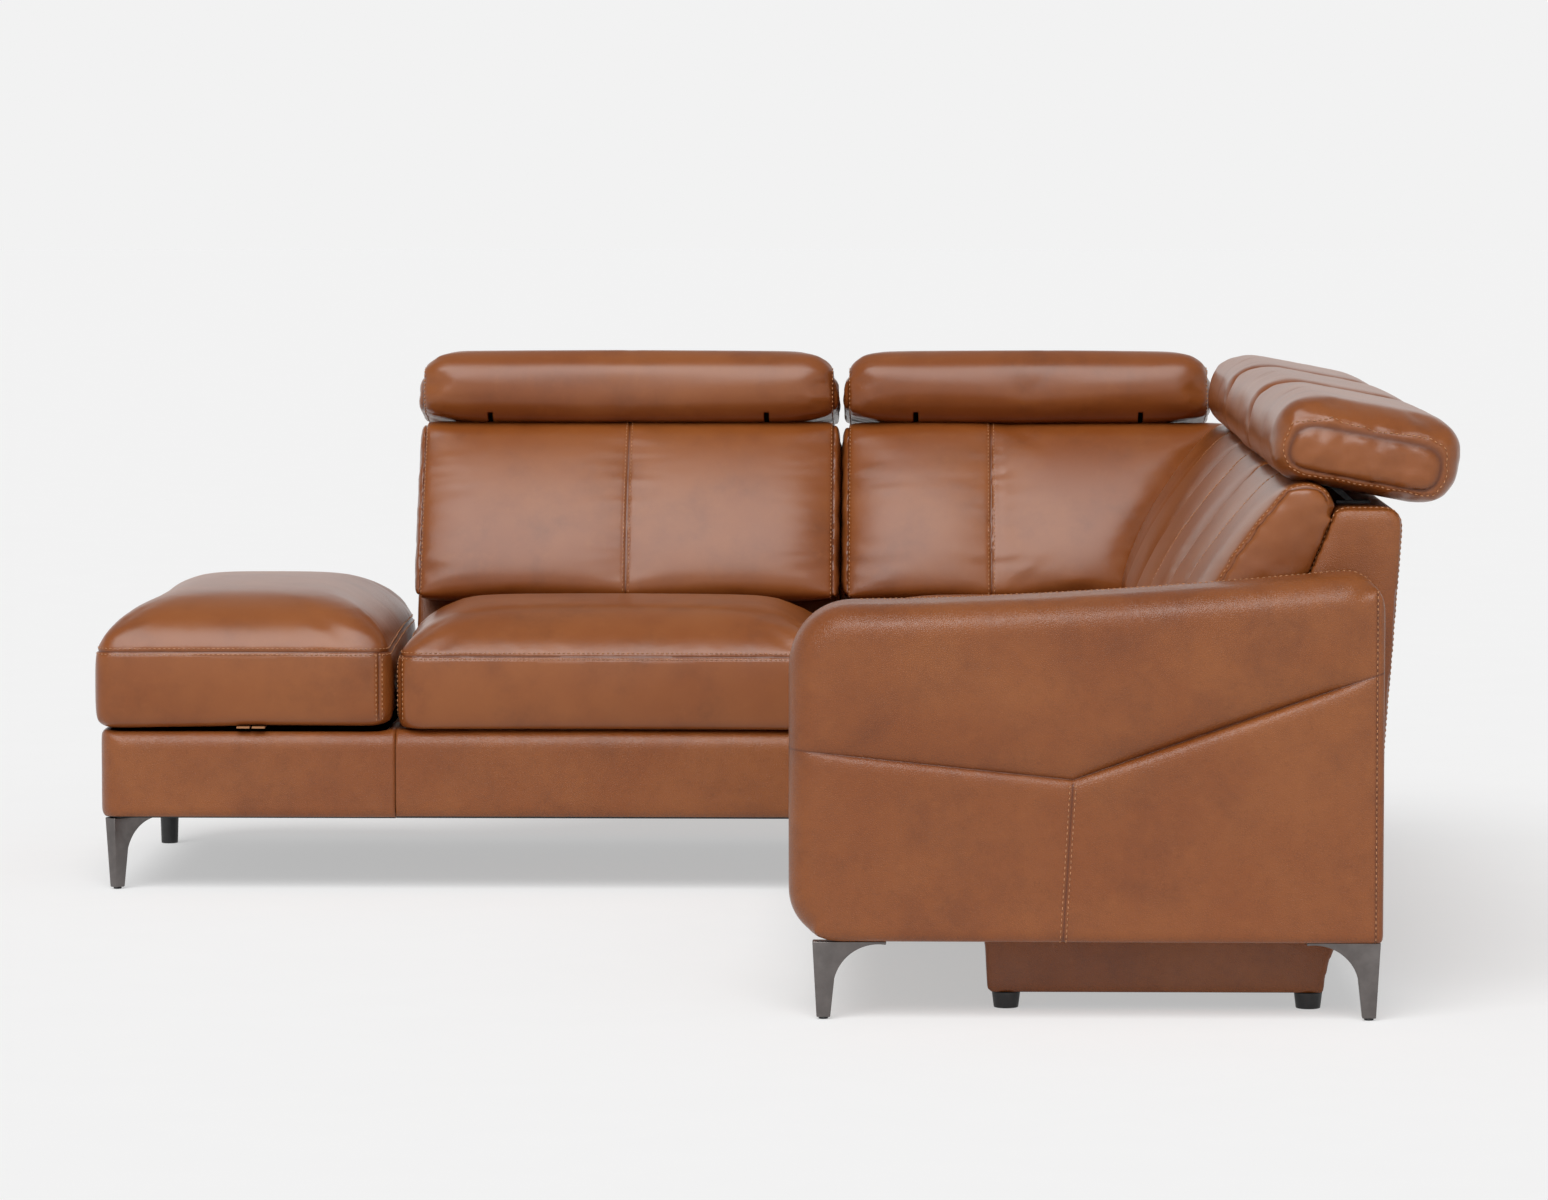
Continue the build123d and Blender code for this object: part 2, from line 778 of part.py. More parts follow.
def mechanism_base():
    """Fixed steel base of the mechanism with its feet, cross tubes, track, motor and inlet."""
    rail_span = (rail_front + skirt_slant + rail_cover, rail_rear - skirt_heel - rail_cover)
    rail = block(rail_span, near_rail, (rail_bottom, rail_top))
    foot = Cone(foot_radius, foot_top_radius, rail_bottom, align=(Align.CENTER, Align.CENTER, Align.MIN))
    rail_middle = sum(near_rail) / 2
    feet = [Pos(x, rail_middle - (foot_top_radius - rail_width / 2), 0) * foot for x in foot_places]
    far_face = 2 * seat_middle - near_rail[1]
    tube_half = tube_size / 2
    tubes = [
        block((x - tube_half, x + tube_half), (near_rail[1], far_face), (tube_bottom, tube_top))
        for x in tube_places
    ]
    half = track_width / 2
    track_span = (seat_middle - half, seat_middle + half)
    track = block((track_front, track_rear), track_span, (tube_top, tube_top + track_height))
    length, width, height = motor_block
    motor_y = (seat_middle - width / 2, seat_middle + width / 2)
    motor_x = (track_rear - length, track_rear)
    motor_z = (tube_top + track_height, tube_top + track_height + height)
    motor = block(motor_x, motor_y, motor_z)
    motor += rod_y(motor_radius, (motor_y[1], motor_y[1] + motor_length), sum(motor_x) / 2, sum(motor_z) / 2)
    depth, wide, tall = inlet_size
    inlet_y = (motor_y[0] - wide, motor_y[0])
    inlet_z = (motor_z[0] + inlet_wall, motor_z[0] + inlet_wall + tall)
    inlet = block((track_rear - depth, track_rear), inlet_y, inlet_z)
    inlet -= block(
        (track_rear - inlet_recess, track_rear),
        (inlet_y[0] + inlet_wall, inlet_y[1] - inlet_wall),
        (inlet_z[0] + inlet_wall, inlet_z[1] - inlet_wall),
    )
    return {
        "mechanism_skirts": group(mirrored(skirt(), far_side_setback)),
        "recliner_feet": group([twin for foot in feet for twin in mirrored(foot, far_side_setback)]),
        "base_rails": group(mirrored(rail)),
        "base_cross_tubes": group(tubes),
        "drive_track": track,
        "drive_motor": motor,
        "power_inlet": inlet,
        "recliner_rear_panel": block(
            (base_depth - rear_panel_thickness, base_depth),
            (arm_thickness, arm_thickness + seat_width),
            (base_bottom, rear_panel_top),
        ),
    }


def side_plate():
    """Sliding side plate: runner on the base rail, arm to the footrest pivot, ear for the back pivot."""
    runner = rail_top + touch_gap
    body = block((plate_front, plate_rear), near_plate, (runner, deck_bottom))
    body += block((link_pivot[0], plate_front), near_plate, (deck_bottom - plate_arm, deck_bottom))
    body += rod_y(deck_bottom - link_pivot[1], near_plate, *link_pivot)
    ear_span = (back_pivot[0] - ear_radius, back_pivot[0] + ear_radius)
    body += block(ear_span, near_plate, (runner, back_pivot[1]))
    body += rod_y(ear_radius, near_plate, *back_pivot)
    for pivot in (link_pivot, back_pivot):
        body -= rod_y(pivot_radius + running_clearance, near_plate, *pivot)
    return body


def shouldered_pin(pivot, y_span):
    """Pin through plates, with a flat head outside the first one."""
    pin = rod_y(pivot_radius, y_span, *pivot)
    head = (y_span[0] - pivot_head, y_span[0])
    return pin + rod_y(pivot_radius + pivot_head_lip, head, *pivot)


def drive_nut():
    """Nut that rides on the track, with a strap up to the seat deck."""
    half = track_width / 2 + nut_clearance
    wall = half + nut_wall
    track_top = tube_top + track_height + nut_clearance
    nut_top = track_top + nut_wall
    nut = block(nut_place, (seat_middle - wall, seat_middle + wall), (tube_top + nut_clearance, nut_top))
    nut -= block(nut_place, (seat_middle - half, seat_middle + half), (0, track_top))
    strap_x = (deck_rear - 2 * nut_strap, deck_rear)
    strap_y = (seat_middle - nut_strap, seat_middle + nut_strap)
    nut += block((strap_x[0], nut_place[1]), strap_y, (track_top, nut_top))
    nut += block(strap_x, strap_y, (track_top, deck_bottom))
    return nut


def carriage():
    """Sliding carriage of the reclining seat: side plates, pins, deck, cushion and drive nut."""
    near_y = arm_thickness + side_gap
    far_y = arm_thickness + seat_width - side_gap
    width = far_y - near_y
    deck_y = (near_plate[0], 2 * seat_middle - near_plate[0])
    cushion = crowned_cushion((0, width), (0, width), (0, seat_depth), seat_heights)
    link_pin = shouldered_pin(link_pivot, (near_plate[0], lower_link_span[1]))
    back_pin = shouldered_pin(back_pivot, (near_plate[0], near_plate[1] + pin_grip))
    return {
        "side_plates": group(mirrored(side_plate())),
        "pivot_pins": group([twin for pin in (link_pin, back_pin) for twin in mirrored(pin)]),
        "recliner_seat_deck": block((deck_front, deck_rear), deck_y, (deck_bottom, deck_top)),
        "recliner_seat_cushion": along_main(far_y) * cushion,
        "drive_nut": drive_nut(),
    }


def reclining_back():
    """Back of the reclining seat, notched round the carriage's ears and bored for the back pivots."""
    near_y = arm_thickness + side_gap
    far_y = arm_thickness + seat_width - side_gap
    width = far_y - near_y
    frame = along_main(far_y) * back_frame(width, back_frame_bottom)
    room = ear_radius + ear_room
    notch_y = (near_y, near_plate[1] + link_gap)
    notch = block((back_pivot[0] - 2 * room, back_pivot[0] + 2 * room), notch_y, (0, back_pivot[1]))
    notch += rod_y(room, notch_y, *back_pivot)
    bore = rod_y(pivot_radius + running_clearance, (near_y, near_plate[1] + pin_grip + link_gap), *back_pivot)
    for cut in mirrored(notch + bore):
        frame -= cut
    return {
        "recliner_back_frame": frame,
        "recliner_back_cushion": along_main(far_y) * back_cushion(width, width / 2),
    }


def link(start, angle, y_span):
    """Flat link with rounded ends, bored at both pivots."""
    end = link_end(start, angle)
    turn = radians(angle)
    half = link_width / 2
    across = (half * sin(turn), half * cos(turn))
    outline = Polyline(
        (start[0] + across[0], start[1] + across[1]),
        (end[0] + across[0], end[1] + across[1]),
        (end[0] - across[0], end[1] - across[1]),
        (start[0] - across[0], start[1] - across[1]),
        close=True,
    )
    bar = upright(outline, y_span)
    for pivot in (start, end):
        bar += rod_y(half, y_span, *pivot)
    for pivot in (start, end):
        bar -= rod_y(pivot_radius + running_clearance, y_span, *pivot)
    return bar


def footrest():
    """Folding footrest: two links a side, brackets with pins, board and pad."""
    lower = link(link_pivot, lower_link_angle, lower_link_span)
    upper = link(knee, upper_link_angle, upper_link_span)
    knee_pin = shouldered_pin(knee, (lower_link_span[0], upper_link_span[1]))
    half = link_width / 2
    board_front = footrest_depth - footrest_board_thickness
    bracket_z = (footrest_pivot[1] - half, footrest_pivot[1] + half)
    bracket = block((footrest_depth, footrest_pivot[0]), bracket_span, bracket_z)
    bracket += rod_y(half, bracket_span, *footrest_pivot)
    bracket += rod_y(pivot_radius, (upper_link_span[0], bracket_span[0]), *footrest_pivot)
    span = (arm_thickness + side_gap, arm_thickness + seat_width - side_gap)
    heights = (footrest_bottom, footrest_top)
    board = block((board_front, footrest_depth), span, heights)
    pad = block((0, board_front), span, heights)
    pad = fillet(pad.faces().sort_by(Axis.X)[0].edges(), footrest_edge)
    return {
        "lower_links": group(mirrored(lower)),
        "link_pins": group(mirrored(knee_pin)),
        "upper_links": group(mirrored(upper)),
        "footrest_brackets": group(mirrored(bracket)),
        "footrest_board": board,
        "footrest_pad": pad,
    }


def corner_wedge(side):
    """Half of the corner on one side of the mitre; side is -1 for the rear back and 1 for the side back."""
    reach = 2 * section_depth
    shift = side * cushion_gap / 2
    far = (shift + side * reach, -side * reach)
    wedge = Polyline((shift - reach, -reach), (shift + reach, reach), far, close=True)
    return Pos(0, return_front, 0) * extrude(make_face(wedge), reach)


def fixed_backs():
    """Back frames and cushions of the seats that do not recline; those of the corner meet in a mitre."""
    parts = {}
    return_span = return_width + return_pad_overhang
    backs = (
        ("middle", along_main(return_front), seat_width, seat_width / 2, 0),
        ("return", along_return(return_left - return_pad_overhang), return_span, return_span / 2, 0),
        ("corner_side", along_main(return_front + frame_rear_high), frame_rear_high, frame_rear_high / 2, 1),
        ("corner_rear", along_return(corner_offset), frame_rear_high - corner_offset, seat_depth / 2, -1),
    )
    for name, place, width, seam, side in backs:
        frame = place * back_frame(width, base_top)
        inner = width - cushion_gap
        cushion = place * Pos(cushion_gap / 2, 0, 0) * back_cushion(inner, seam)
        if side:
            frame &= corner_wedge(side)
            cushion &= corner_wedge(side)
        parts[name + "_back_frame"] = frame
        parts[name + "_back_cushion"] = cushion
    return parts


def headrests():
    """Five headrests and their braces; those in the corner stop short of each other."""
    recliner_width = seat_width - 2 * side_gap - 2 * pad_end_gap
    fixed_width = seat_width - 2 * pad_end_gap
    recliner_end = arm_thickness + seat_width - side_gap - pad_end_gap
    return_span = return_width + return_pad_overhang
    places = {
        "recliner_headrest": (along_main(recliner_end), recliner_width),
        "middle_headrest": (along_main(return_front - pad_end_gap), fixed_width),
        "corner_side_headrest": (along_main(return_front + corner_pad_end), corner_pad_end - pad_end_gap),
        "corner_rear_headrest": (
            along_return(corner_offset + pad_end_gap),
            pad_pivot[0] - pad_pivot_radius - corner_offset + 2 * pad_end_gap,
        ),
        "return_headrest": (along_return(return_left - return_pad_overhang), return_span - pad_end_gap),
    }
    parts = {}
    fixed_braces = []
    for name, (place, width) in places.items():
        parts[name] = place * headrest(width)
        braces = [place * brace for brace in headrest_braces(width)]
        if name == "recliner_headrest":
            parts["recliner_headrest_braces"] = group(braces)
        else:
            fixed_braces.extend(braces)
    parts["headrest_braces"] = group(fixed_braces)
    return parts


def fixed_seats():
    """Bases, webbing and cushions of the middle, corner and return seats."""
    corner_width = base_depth - corner_offset
    cushions = (
        ("middle", along_main(return_front), seat_width, seat_width, 0),
        ("corner", along_return(corner_offset), corner_width, seat_depth - corner_offset, 0),
        ("return", along_return(return_left), return_width, return_width, lid_taper * seat_depth / lid_depth),
    )
    parts = {}
    straps = []
    for name, place, width, cushion_width, slant in cushions:
        parts[name + "_base"] = place * base_box(width)
        half_gap = cushion_gap / 2
        front = (half_gap, cushion_width - half_gap)
        rear = (half_gap - slant, cushion_width - half_gap)
        depth = (half_gap if name == "corner" else 0, seat_depth)
        cushion = crowned_cushion(front, rear, depth, seat_heights)
        parts[name + "_seat_cushion"] = place * cushion
        straps.extend(place * strap for strap in webbing(cushion_width))
    parts["seat_webbing"] = group(straps)
    return parts


def storage_box():
    """Open box under the end seat, its free corners rounded."""
    right = end_seat_width
    outer = block((lid_overhang, right), (base_inset, base_depth), (base_bottom, base_top))
    outer = fillet(outer.edges().filter_by(Axis.Z).group_by(Axis.X)[0], box_corner)
    rim = outer.faces().sort_by(Axis.Y)[0].edges().filter_by(Axis.X)
    outer = fillet(rim, base_edge_radius / 2)
    well_x = (lid_overhang + box_wall, right - box_wall)
    well_y = (base_inset + box_wall, base_depth - box_wall)
    return outer - block(well_x, well_y, (base_bottom + box_floor, base_top + CUT_PAST))


def lid_plank(rear):
    """The lid board's outline, tapered to clear the back beside it, at the board's thickness."""
    right = end_seat_width - cushion_gap
    inset = lid_board_inset
    outline = Polyline(
        (inset, inset),
        (right - inset, inset),
        (right - lid_taper - inset, rear),
        (inset, rear),
        close=True,
    )
    return Pos(0, 0, lid_bottom) * extrude(make_face(outline), lid_board_thickness)


def lid_and_hinges():
    """Lid board and the two hinges behind the box."""
    right = end_seat_width - cushion_gap
    board_z = (lid_bottom, lid_bottom + lid_board_thickness)
    hinge = (base_depth + hinge_offset, sum(board_z) / 2)
    board = lid_plank(lid_board_rear)
    hinges = []
    for at in (hinge_inset, right - lid_taper - hinge_inset):
        half = hinge_plate / 2
        notch_half = half + hinge_notch
        notch = block((at - notch_half, at + notch_half), (hinge[0] - hinge_slot, lid_board_rear), board_z)
        grip = notch_half + pin_grip
        board -= notch + rod_x(lid_pin_radius + running_clearance, (at - grip, at + grip), *hinge)
        leaf_y = (base_depth, hinge[0] + hinge_offset)
        leaf = block((at - half, at + half), leaf_y, (base_top - hinge_drop, hinge[1]))
        leaf += rod_x(hinge_offset, (at - half, at + half), *hinge)
        leaf += rod_x(lid_pin_radius, (at - grip, at + grip), *hinge)
        hinges.append(leaf)
    return board, hinges


def pull_tabs():
    """Two flat tabs under the front edge of the lid."""
    width, depth, thickness = tab_size
    tab_y = (tab_inset, tab_inset + depth)
    tab_z = (lid_bottom - thickness, lid_bottom)
    return [block((at - width / 2, at + width / 2), tab_y, tab_z) for at in tab_places]


def end_seat():
    """Storage box of the end seat with its hinged lid, lid cushion and pull tabs."""
    place = along_return(end_left)
    right = end_seat_width - cushion_gap
    board, hinges = lid_and_hinges()
    heights = (lid_bottom, lid_seam, lid_top)
    cushion = crowned_cushion((0, right), (0, right - lid_taper), (0, lid_depth), heights)
    open_rear = block((0, right), (base_depth - lid_board_inset, lid_depth), (0, lid_bottom + lid_board_thickness))
    cushion -= lid_plank(lid_depth) + open_rear
    return {
        "storage_box": place * storage_box(),
        "lid_board": place * board,
        "lid_hinges": group([place * hinge for hinge in hinges]),
        "lid_cushion": place * cushion,
        "pull_tabs": group([place * tab for tab in pull_tabs()]),
    }


def legs():
    """Metal legs, their glides and the straight legs."""
    parts = {}
    glides = []
    foot_middle = leg_foot_inset + leg_foot_width / 2
    for name, (place, height) in leg_places().items():
        parts[name] = place * metal_leg(height)
        glides.append(place * glide(foot_middle, 0))
    parts["leg_glides"] = group(glides)
    parts["support_legs"] = group([support_leg(x, y) for x, y in support_places()])
    return parts


def connectors():
    """Steel plates under the bases that join the middle and return sections to the corner."""
    length, width, thickness = connector_size
    level = (base_bottom - thickness, base_bottom)
    across_main = block(
        (connector_depth - width / 2, connector_depth + width / 2),
        (return_front - length / 2, return_front + length / 2),
        level,
    )
    across_return = block(
        (corner_offset - length / 2, corner_offset + length / 2),
        (return_front + connector_depth - width / 2, return_front + connector_depth + width / 2),
        level,
    )
    return group([across_main, across_return])


def build_parts():
    """Every named piece of the sofa, in the plan frame."""
    upper, lower, board = arm_parts()
    first, second = button_places()
    parts = {
        "arm_upper_pad": upper,
        "arm_lower_cover": lower,
        "arm_board": board,
        "switch_plate": switch_panel(),
        "recline_button": button(first),
        "return_button": button(second),
        "sectional_connectors": connectors(),
    }
    for pieces in (mechanism_base, carriage, reclining_back, footrest, fixed_backs, fixed_seats, end_seat,
                   headrests, legs):
        parts.update(pieces())
    return parts


def main():
    """Write one file for each named piece, about the middle of the footprint."""
    os.makedirs("parts", exist_ok=True)
    for name, shape in build_parts().items():
        export_step(to_origin * shape, f"parts/{name}.step")


main()
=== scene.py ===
"""Looks of a reclining corner sofa in cognac leather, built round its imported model.

Lengths are in metres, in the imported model's own frame. The main leg's seats face -X and its width runs
along Y; the return leg's seats face -Y and its width runs along X.
"""
import json
import logging
import math
from dataclasses import dataclass, field, replace
from enum import Enum
from typing import Callable, Iterable, Optional, Sequence

import bmesh
import bpy
import numpy as np
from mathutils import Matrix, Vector, noise

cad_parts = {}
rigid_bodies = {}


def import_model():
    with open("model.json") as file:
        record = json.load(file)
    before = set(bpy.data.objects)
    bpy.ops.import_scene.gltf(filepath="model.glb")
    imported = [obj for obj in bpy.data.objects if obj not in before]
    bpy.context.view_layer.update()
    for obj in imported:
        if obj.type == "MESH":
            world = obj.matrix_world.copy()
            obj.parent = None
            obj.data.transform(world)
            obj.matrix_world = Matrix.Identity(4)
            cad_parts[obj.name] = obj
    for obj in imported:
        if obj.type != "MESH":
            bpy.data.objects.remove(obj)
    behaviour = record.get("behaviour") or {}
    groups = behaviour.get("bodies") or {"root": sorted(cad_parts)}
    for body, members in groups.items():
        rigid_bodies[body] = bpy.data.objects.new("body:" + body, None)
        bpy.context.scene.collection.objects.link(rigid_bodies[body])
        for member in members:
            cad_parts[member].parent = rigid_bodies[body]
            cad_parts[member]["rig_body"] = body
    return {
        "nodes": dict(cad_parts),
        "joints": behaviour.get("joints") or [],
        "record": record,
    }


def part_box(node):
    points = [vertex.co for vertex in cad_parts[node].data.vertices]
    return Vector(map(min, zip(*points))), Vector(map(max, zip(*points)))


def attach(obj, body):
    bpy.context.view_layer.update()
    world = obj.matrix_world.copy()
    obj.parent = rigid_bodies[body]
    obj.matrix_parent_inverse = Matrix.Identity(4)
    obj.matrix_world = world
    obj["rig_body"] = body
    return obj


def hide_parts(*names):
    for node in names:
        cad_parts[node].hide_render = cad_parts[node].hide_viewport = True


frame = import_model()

LOG = logging.getLogger("sofa")
Piece = bpy.types.Object
Socket = bpy.types.NodeSocket
Region = Callable[[np.ndarray], np.ndarray]
Colour = tuple[float, float, float]
X_AXIS, Y_AXIS, Z_AXIS = 0, 1, 2
TINY = 1e-9
WELD = 0.00002
SMOOTHING = 0.5


class Facing(Enum):
    """The two legs of the sofa, each with its width axis and its depth axis."""

    MAIN = (Y_AXIS, X_AXIS)
    RETURN = (X_AXIS, Y_AXIS)

    @property
    def width(self) -> int:
        """Axis along the width of a section."""
        return self.value[0]

    @property
    def depth(self) -> int:
        """Axis from the front of a section to its rear."""
        return self.value[1]


class Grain(Enum):
    """How coarse the leather's grain is: cell size, bump height and how dark the painted shade in its creases
    is.
    """

    SMOOTH = (0.0016, 0.00003, 0.10)
    PEBBLE = (0.0030, 0.00020, 0.34)


def unit(axis: int) -> np.ndarray:
    """Unit vector along an axis."""
    return np.eye(3)[axis]


def select_only(piece: Piece) -> None:
    """Make a piece the only selected and the active one."""
    bpy.ops.object.select_all(action="DESELECT")
    piece.select_set(True)
    bpy.context.view_layer.objects.active = piece


def rows_of(items: Sequence, name: str) -> np.ndarray:
    """A vector that each vertex or face of a mesh holds, one row each."""
    flat = np.empty(len(items) * 3, np.float32)
    items.foreach_get(name, flat)
    return flat.reshape(-1, 3).astype(float)


def points_of(piece: Piece) -> np.ndarray:
    """Vertex places of a piece, one row each."""
    return rows_of(piece.data.vertices, "co")


def normals_of(piece: Piece) -> np.ndarray:
    """Vertex normals of a piece, one row each."""
    return rows_of(piece.data.vertices, "normal")


def set_points(piece: Piece, points: np.ndarray) -> None:
    """Move the vertices of a piece."""
    piece.data.vertices.foreach_set("co", points.astype(np.float32).ravel())
    piece.data.update()


def finish_with(piece: Piece, kind: str, **settings: object) -> None:
    """Add a modifier with the given settings and apply it.

    Args:
        piece: the piece to change.
        kind: Blender's name for the modifier type.
        settings: its properties.
    """
    select_only(piece)
    modifier = piece.modifiers.new(kind.lower(), kind)
    for name, value in settings.items():
        setattr(modifier, name, value)
    bpy.ops.object.modifier_apply(modifier=modifier.name)


def remesh(piece: Piece, voxel: float, easing: int) -> None:
    """Mesh a piece evenly and smooth it."""
    finish_with(piece, "REMESH", mode="VOXEL", voxel_size=voxel)
    finish_with(piece, "SMOOTH", factor=SMOOTHING, iterations=easing)


def edit_all(piece: Piece, tool: Callable[..., object], **settings: object) -> None:
    """Use one of Blender's mesh tools on the whole of a piece.

    Args:
        piece: the piece to change.
        tool: the tool.
        settings: its options.
    """
    select_only(piece)
    bpy.ops.object.mode_set(mode="EDIT")
    bpy.ops.mesh.select_all(action="SELECT")
    tool(**settings)
    bpy.ops.object.mode_set(mode="OBJECT")


def new_piece(name: str, mesh: bpy.types.Mesh) -> Piece:
    """A new piece in the scene that shows a mesh."""
    piece = bpy.data.objects.new(name, mesh)
    bpy.context.scene.collection.objects.link(piece)
    return piece


def copy_of_node(node: str, name: str) -> Piece:
    """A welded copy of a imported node's mesh as a new piece.

    Args:
        node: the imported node.
        name: the new piece's name.

    Returns:
        The new piece, at the node's place.
    """
    mesh = frame["nodes"][node].data.copy()
    mesh.materials.clear()
    piece = new_piece(name, mesh)
    edit_all(piece, bpy.ops.mesh.remove_doubles, threshold=WELD)
    return piece


def shrink(piece: Piece, slack: Sequence[float]) -> None:
    """Draw a piece in by the slack on both sides of each axis."""
    points = points_of(piece)
    low, high = points.min(0), points.max(0)
    size = high - low
    middle = (low + high) / 2
    set_points(piece, middle + (points - middle) * (size - 2 * np.array(slack)) / size)


def fill_box(piece: Piece, low: Sequence[float], high: Sequence[float]) -> None:
    """Stretch a piece so that it fills a box."""
    points = points_of(piece)
    foot, head = points.min(0), points.max(0)
    set_points(piece, np.array(low) + (points - foot) * (np.array(high) - np.array(low)) / (head - foot))


def noise_at(points: np.ndarray, scale: Sequence[float], seed: float) -> np.ndarray:
    """Smooth noise from -1 to 1 at each point, stretched along each axis by its scale."""
    scaled = points * np.array(scale) + seed
    return np.array([noise.noise(Vector(point)) for point in scaled])


def everywhere(points: np.ndarray) -> np.ndarray:
    """A region that holds every point."""
    return np.ones(len(points), bool)


def ramp(distance: np.ndarray, reach: float) -> np.ndarray:
    """A distance as a share of a reach, kept from 0 to 1."""
    return np.clip(distance / reach, 0, 1)


def eased(share: np.ndarray) -> np.ndarray:
    """A share from 0 to 1 that starts and ends gently."""
    return share * share * (3 - 2 * share)


OVERRUN = 0.03
STITCH_OFFSET = 0.0050
PIN_REACH = 0.010
STUFFING_FRAMES = 20
CARVE_REACH = 0.03
CUT_MERGE = 0.0002
SEAM_SHADE = 0.0018
ROW_WIDTH = 0.0016
PUCKER_LIMIT = 0.08
FOLDS_ALONG, FOLDS_ACROSS = 34, 7
FINE_RATE, FINE_SHARE, FINE_SHIFT = 2.1, 0.5, 9
NUDGE = 1e-7


@dataclass(frozen=True)
class Seam:
    """A sewn line where a plane meets the leather: the plane, the part of it that is sewn and its pull."""

    place: np.ndarray
    normal: np.ndarray
    region: Region = everywhere
    double: bool = True
    depth: float = 0.0026
    groove: float = 0.0022
    row: float = STITCH_OFFSET
    row_depth: float = 0.0007
    pucker: float = 0.0010
    pucker_reach: float = 0.035
    cuts: tuple[float, ...] = (-0.0085, -0.005, -0.0022, 0.0, 0.0022, 0.005, 0.0085)

    def distance(self, points: np.ndarray) -> np.ndarray:
        """Signed distance of each point from the seam's plane."""
        return (points - self.place) @ self.normal

    def rows(self) -> list[float]:
        """Offsets of its rows of stitches."""
        return [-self.row, self.row] if self.double else [self.row]


def seam_across(axis: int, at: float, **options: object) -> Seam:
    """A seam in the plane square to an axis at one place along it."""
    return Seam(place=unit(axis) * at, normal=unit(axis), **options)


def inflate(piece: Piece, seams: Iterable[Seam], held: Region, cap: float, pressure: float = 4.0) -> None:
    """Stuff a piece by cloth simulation, its seams and held points pinned.

    Args:
        piece: the piece, already meshed evenly.
        seams: seams that hold the leather down.
        held: points that rest on something.
        cap: how far a point may move.
        pressure: pressure of the stuffing.
    """
    rest = points_of(piece)
    pinned = held(rest)
    for seam in seams:
        pinned |= (np.abs(seam.distance(rest)) < PIN_REACH) & seam.region(rest)
    pins = piece.vertex_groups.new(name="pins")
    pins.add(np.nonzero(pinned)[0].tolist(), 1.0, "REPLACE")
    select_only(piece)
    cloth = piece.modifiers.new("stuffing", "CLOTH")
    cloth.settings.use_pressure = True
    cloth.settings.uniform_pressure_force = pressure
    cloth.settings.effector_weights.gravity = 0.0
    cloth.settings.vertex_group_mass = pins.name
    cloth.collision_settings.use_collision = False
    scene = bpy.context.scene
    scene.frame_start, scene.frame_end = 1, STUFFING_FRAMES
    cloth.point_cache.frame_start, cloth.point_cache.frame_end = 1, STUFFING_FRAMES
    for step in range(1, STUFFING_FRAMES + 1):
        scene.frame_set(step)
    bpy.ops.object.modifier_apply(modifier=cloth.name)
    scene.frame_set(1)
    piece.vertex_groups.clear()
    moved = points_of(piece) - rest
    length = np.linalg.norm(moved, axis=1, keepdims=True)
    share = cap * np.tanh(length / cap) / np.maximum(length, TINY)
    set_points(piece, rest + moved * share)


def carve(piece: Piece, seams: Sequence[Seam], seed: float) -> None:
    """Draw the seams into the leather: finer edges beside each, a groove, stitch rows, puckers and painted
    shade along each seam.

    Args:
        piece: the piece, already at its final fineness.
        seams: the seams to draw.
        seed: shifts the puckers.
    """
    work = bmesh.new()
    work.from_mesh(piece.data)
    for seam in seams:
        normal = Vector(seam.normal)
        level = normal.dot(Vector(seam.place))
        geometry: set = set()
        for face in work.faces:
            if abs(normal.dot(face.calc_center_median()) - level) < CARVE_REACH:
                geometry.update((face, *face.edges, *face.verts))
        nearby = list(geometry)
        for offset in seam.cuts:
            nearby = bmesh.ops.bisect_plane(
                work, geom=nearby, dist=CUT_MERGE,
                plane_co=Vector(seam.place + seam.normal * offset), plane_no=normal,
            )["geom"]
    work.to_mesh(piece.data)
    work.free()
    piece.data.update()
    points, normals = points_of(piece), normals_of(piece)
    sunk = np.zeros(len(points))
    groove_shade = np.zeros(len(points))
    for seam in seams:
        sewn = seam.region(points).astype(float)
        away = seam.distance(points)
        groove = np.exp(-(away / seam.groove) ** 2)
        rows = sum(np.exp(-((away - row) / ROW_WIDTH) ** 2) for row in seam.rows())
        sunk += sewn * (seam.depth * groove + seam.row_depth * rows)
        close = np.exp(-np.abs(away) / seam.pucker_reach) * sewn
        near = close > PUCKER_LIMIT
        rate = FOLDS_ALONG * (1 - np.abs(seam.normal)) + FOLDS_ACROSS * np.abs(seam.normal)
        folds = np.zeros(len(points))
        folds[near] = noise_at(points[near], rate, seed)
        folds[near] += FINE_SHARE * noise_at(points[near], rate * FINE_RATE, seed + FINE_SHIFT)
        sunk += seam.pucker * close * folds * (1 - groove)
        # Painted shade: leather close to each seam is darkened towards the deep colour, standing in for the
        # shade in the seam's groove.
        groove_shade = np.maximum(groove_shade, sewn * np.exp(-np.abs(away) / SEAM_SHADE))
    set_points(piece, points - normals * sunk[:, None])
    # The painted shade is stored on the points for the leather's colour.
    layer = piece.data.attributes.new("seam_painted_shade", "FLOAT", "POINT")
    layer.data.foreach_set("value", groove_shade.astype(np.float32))


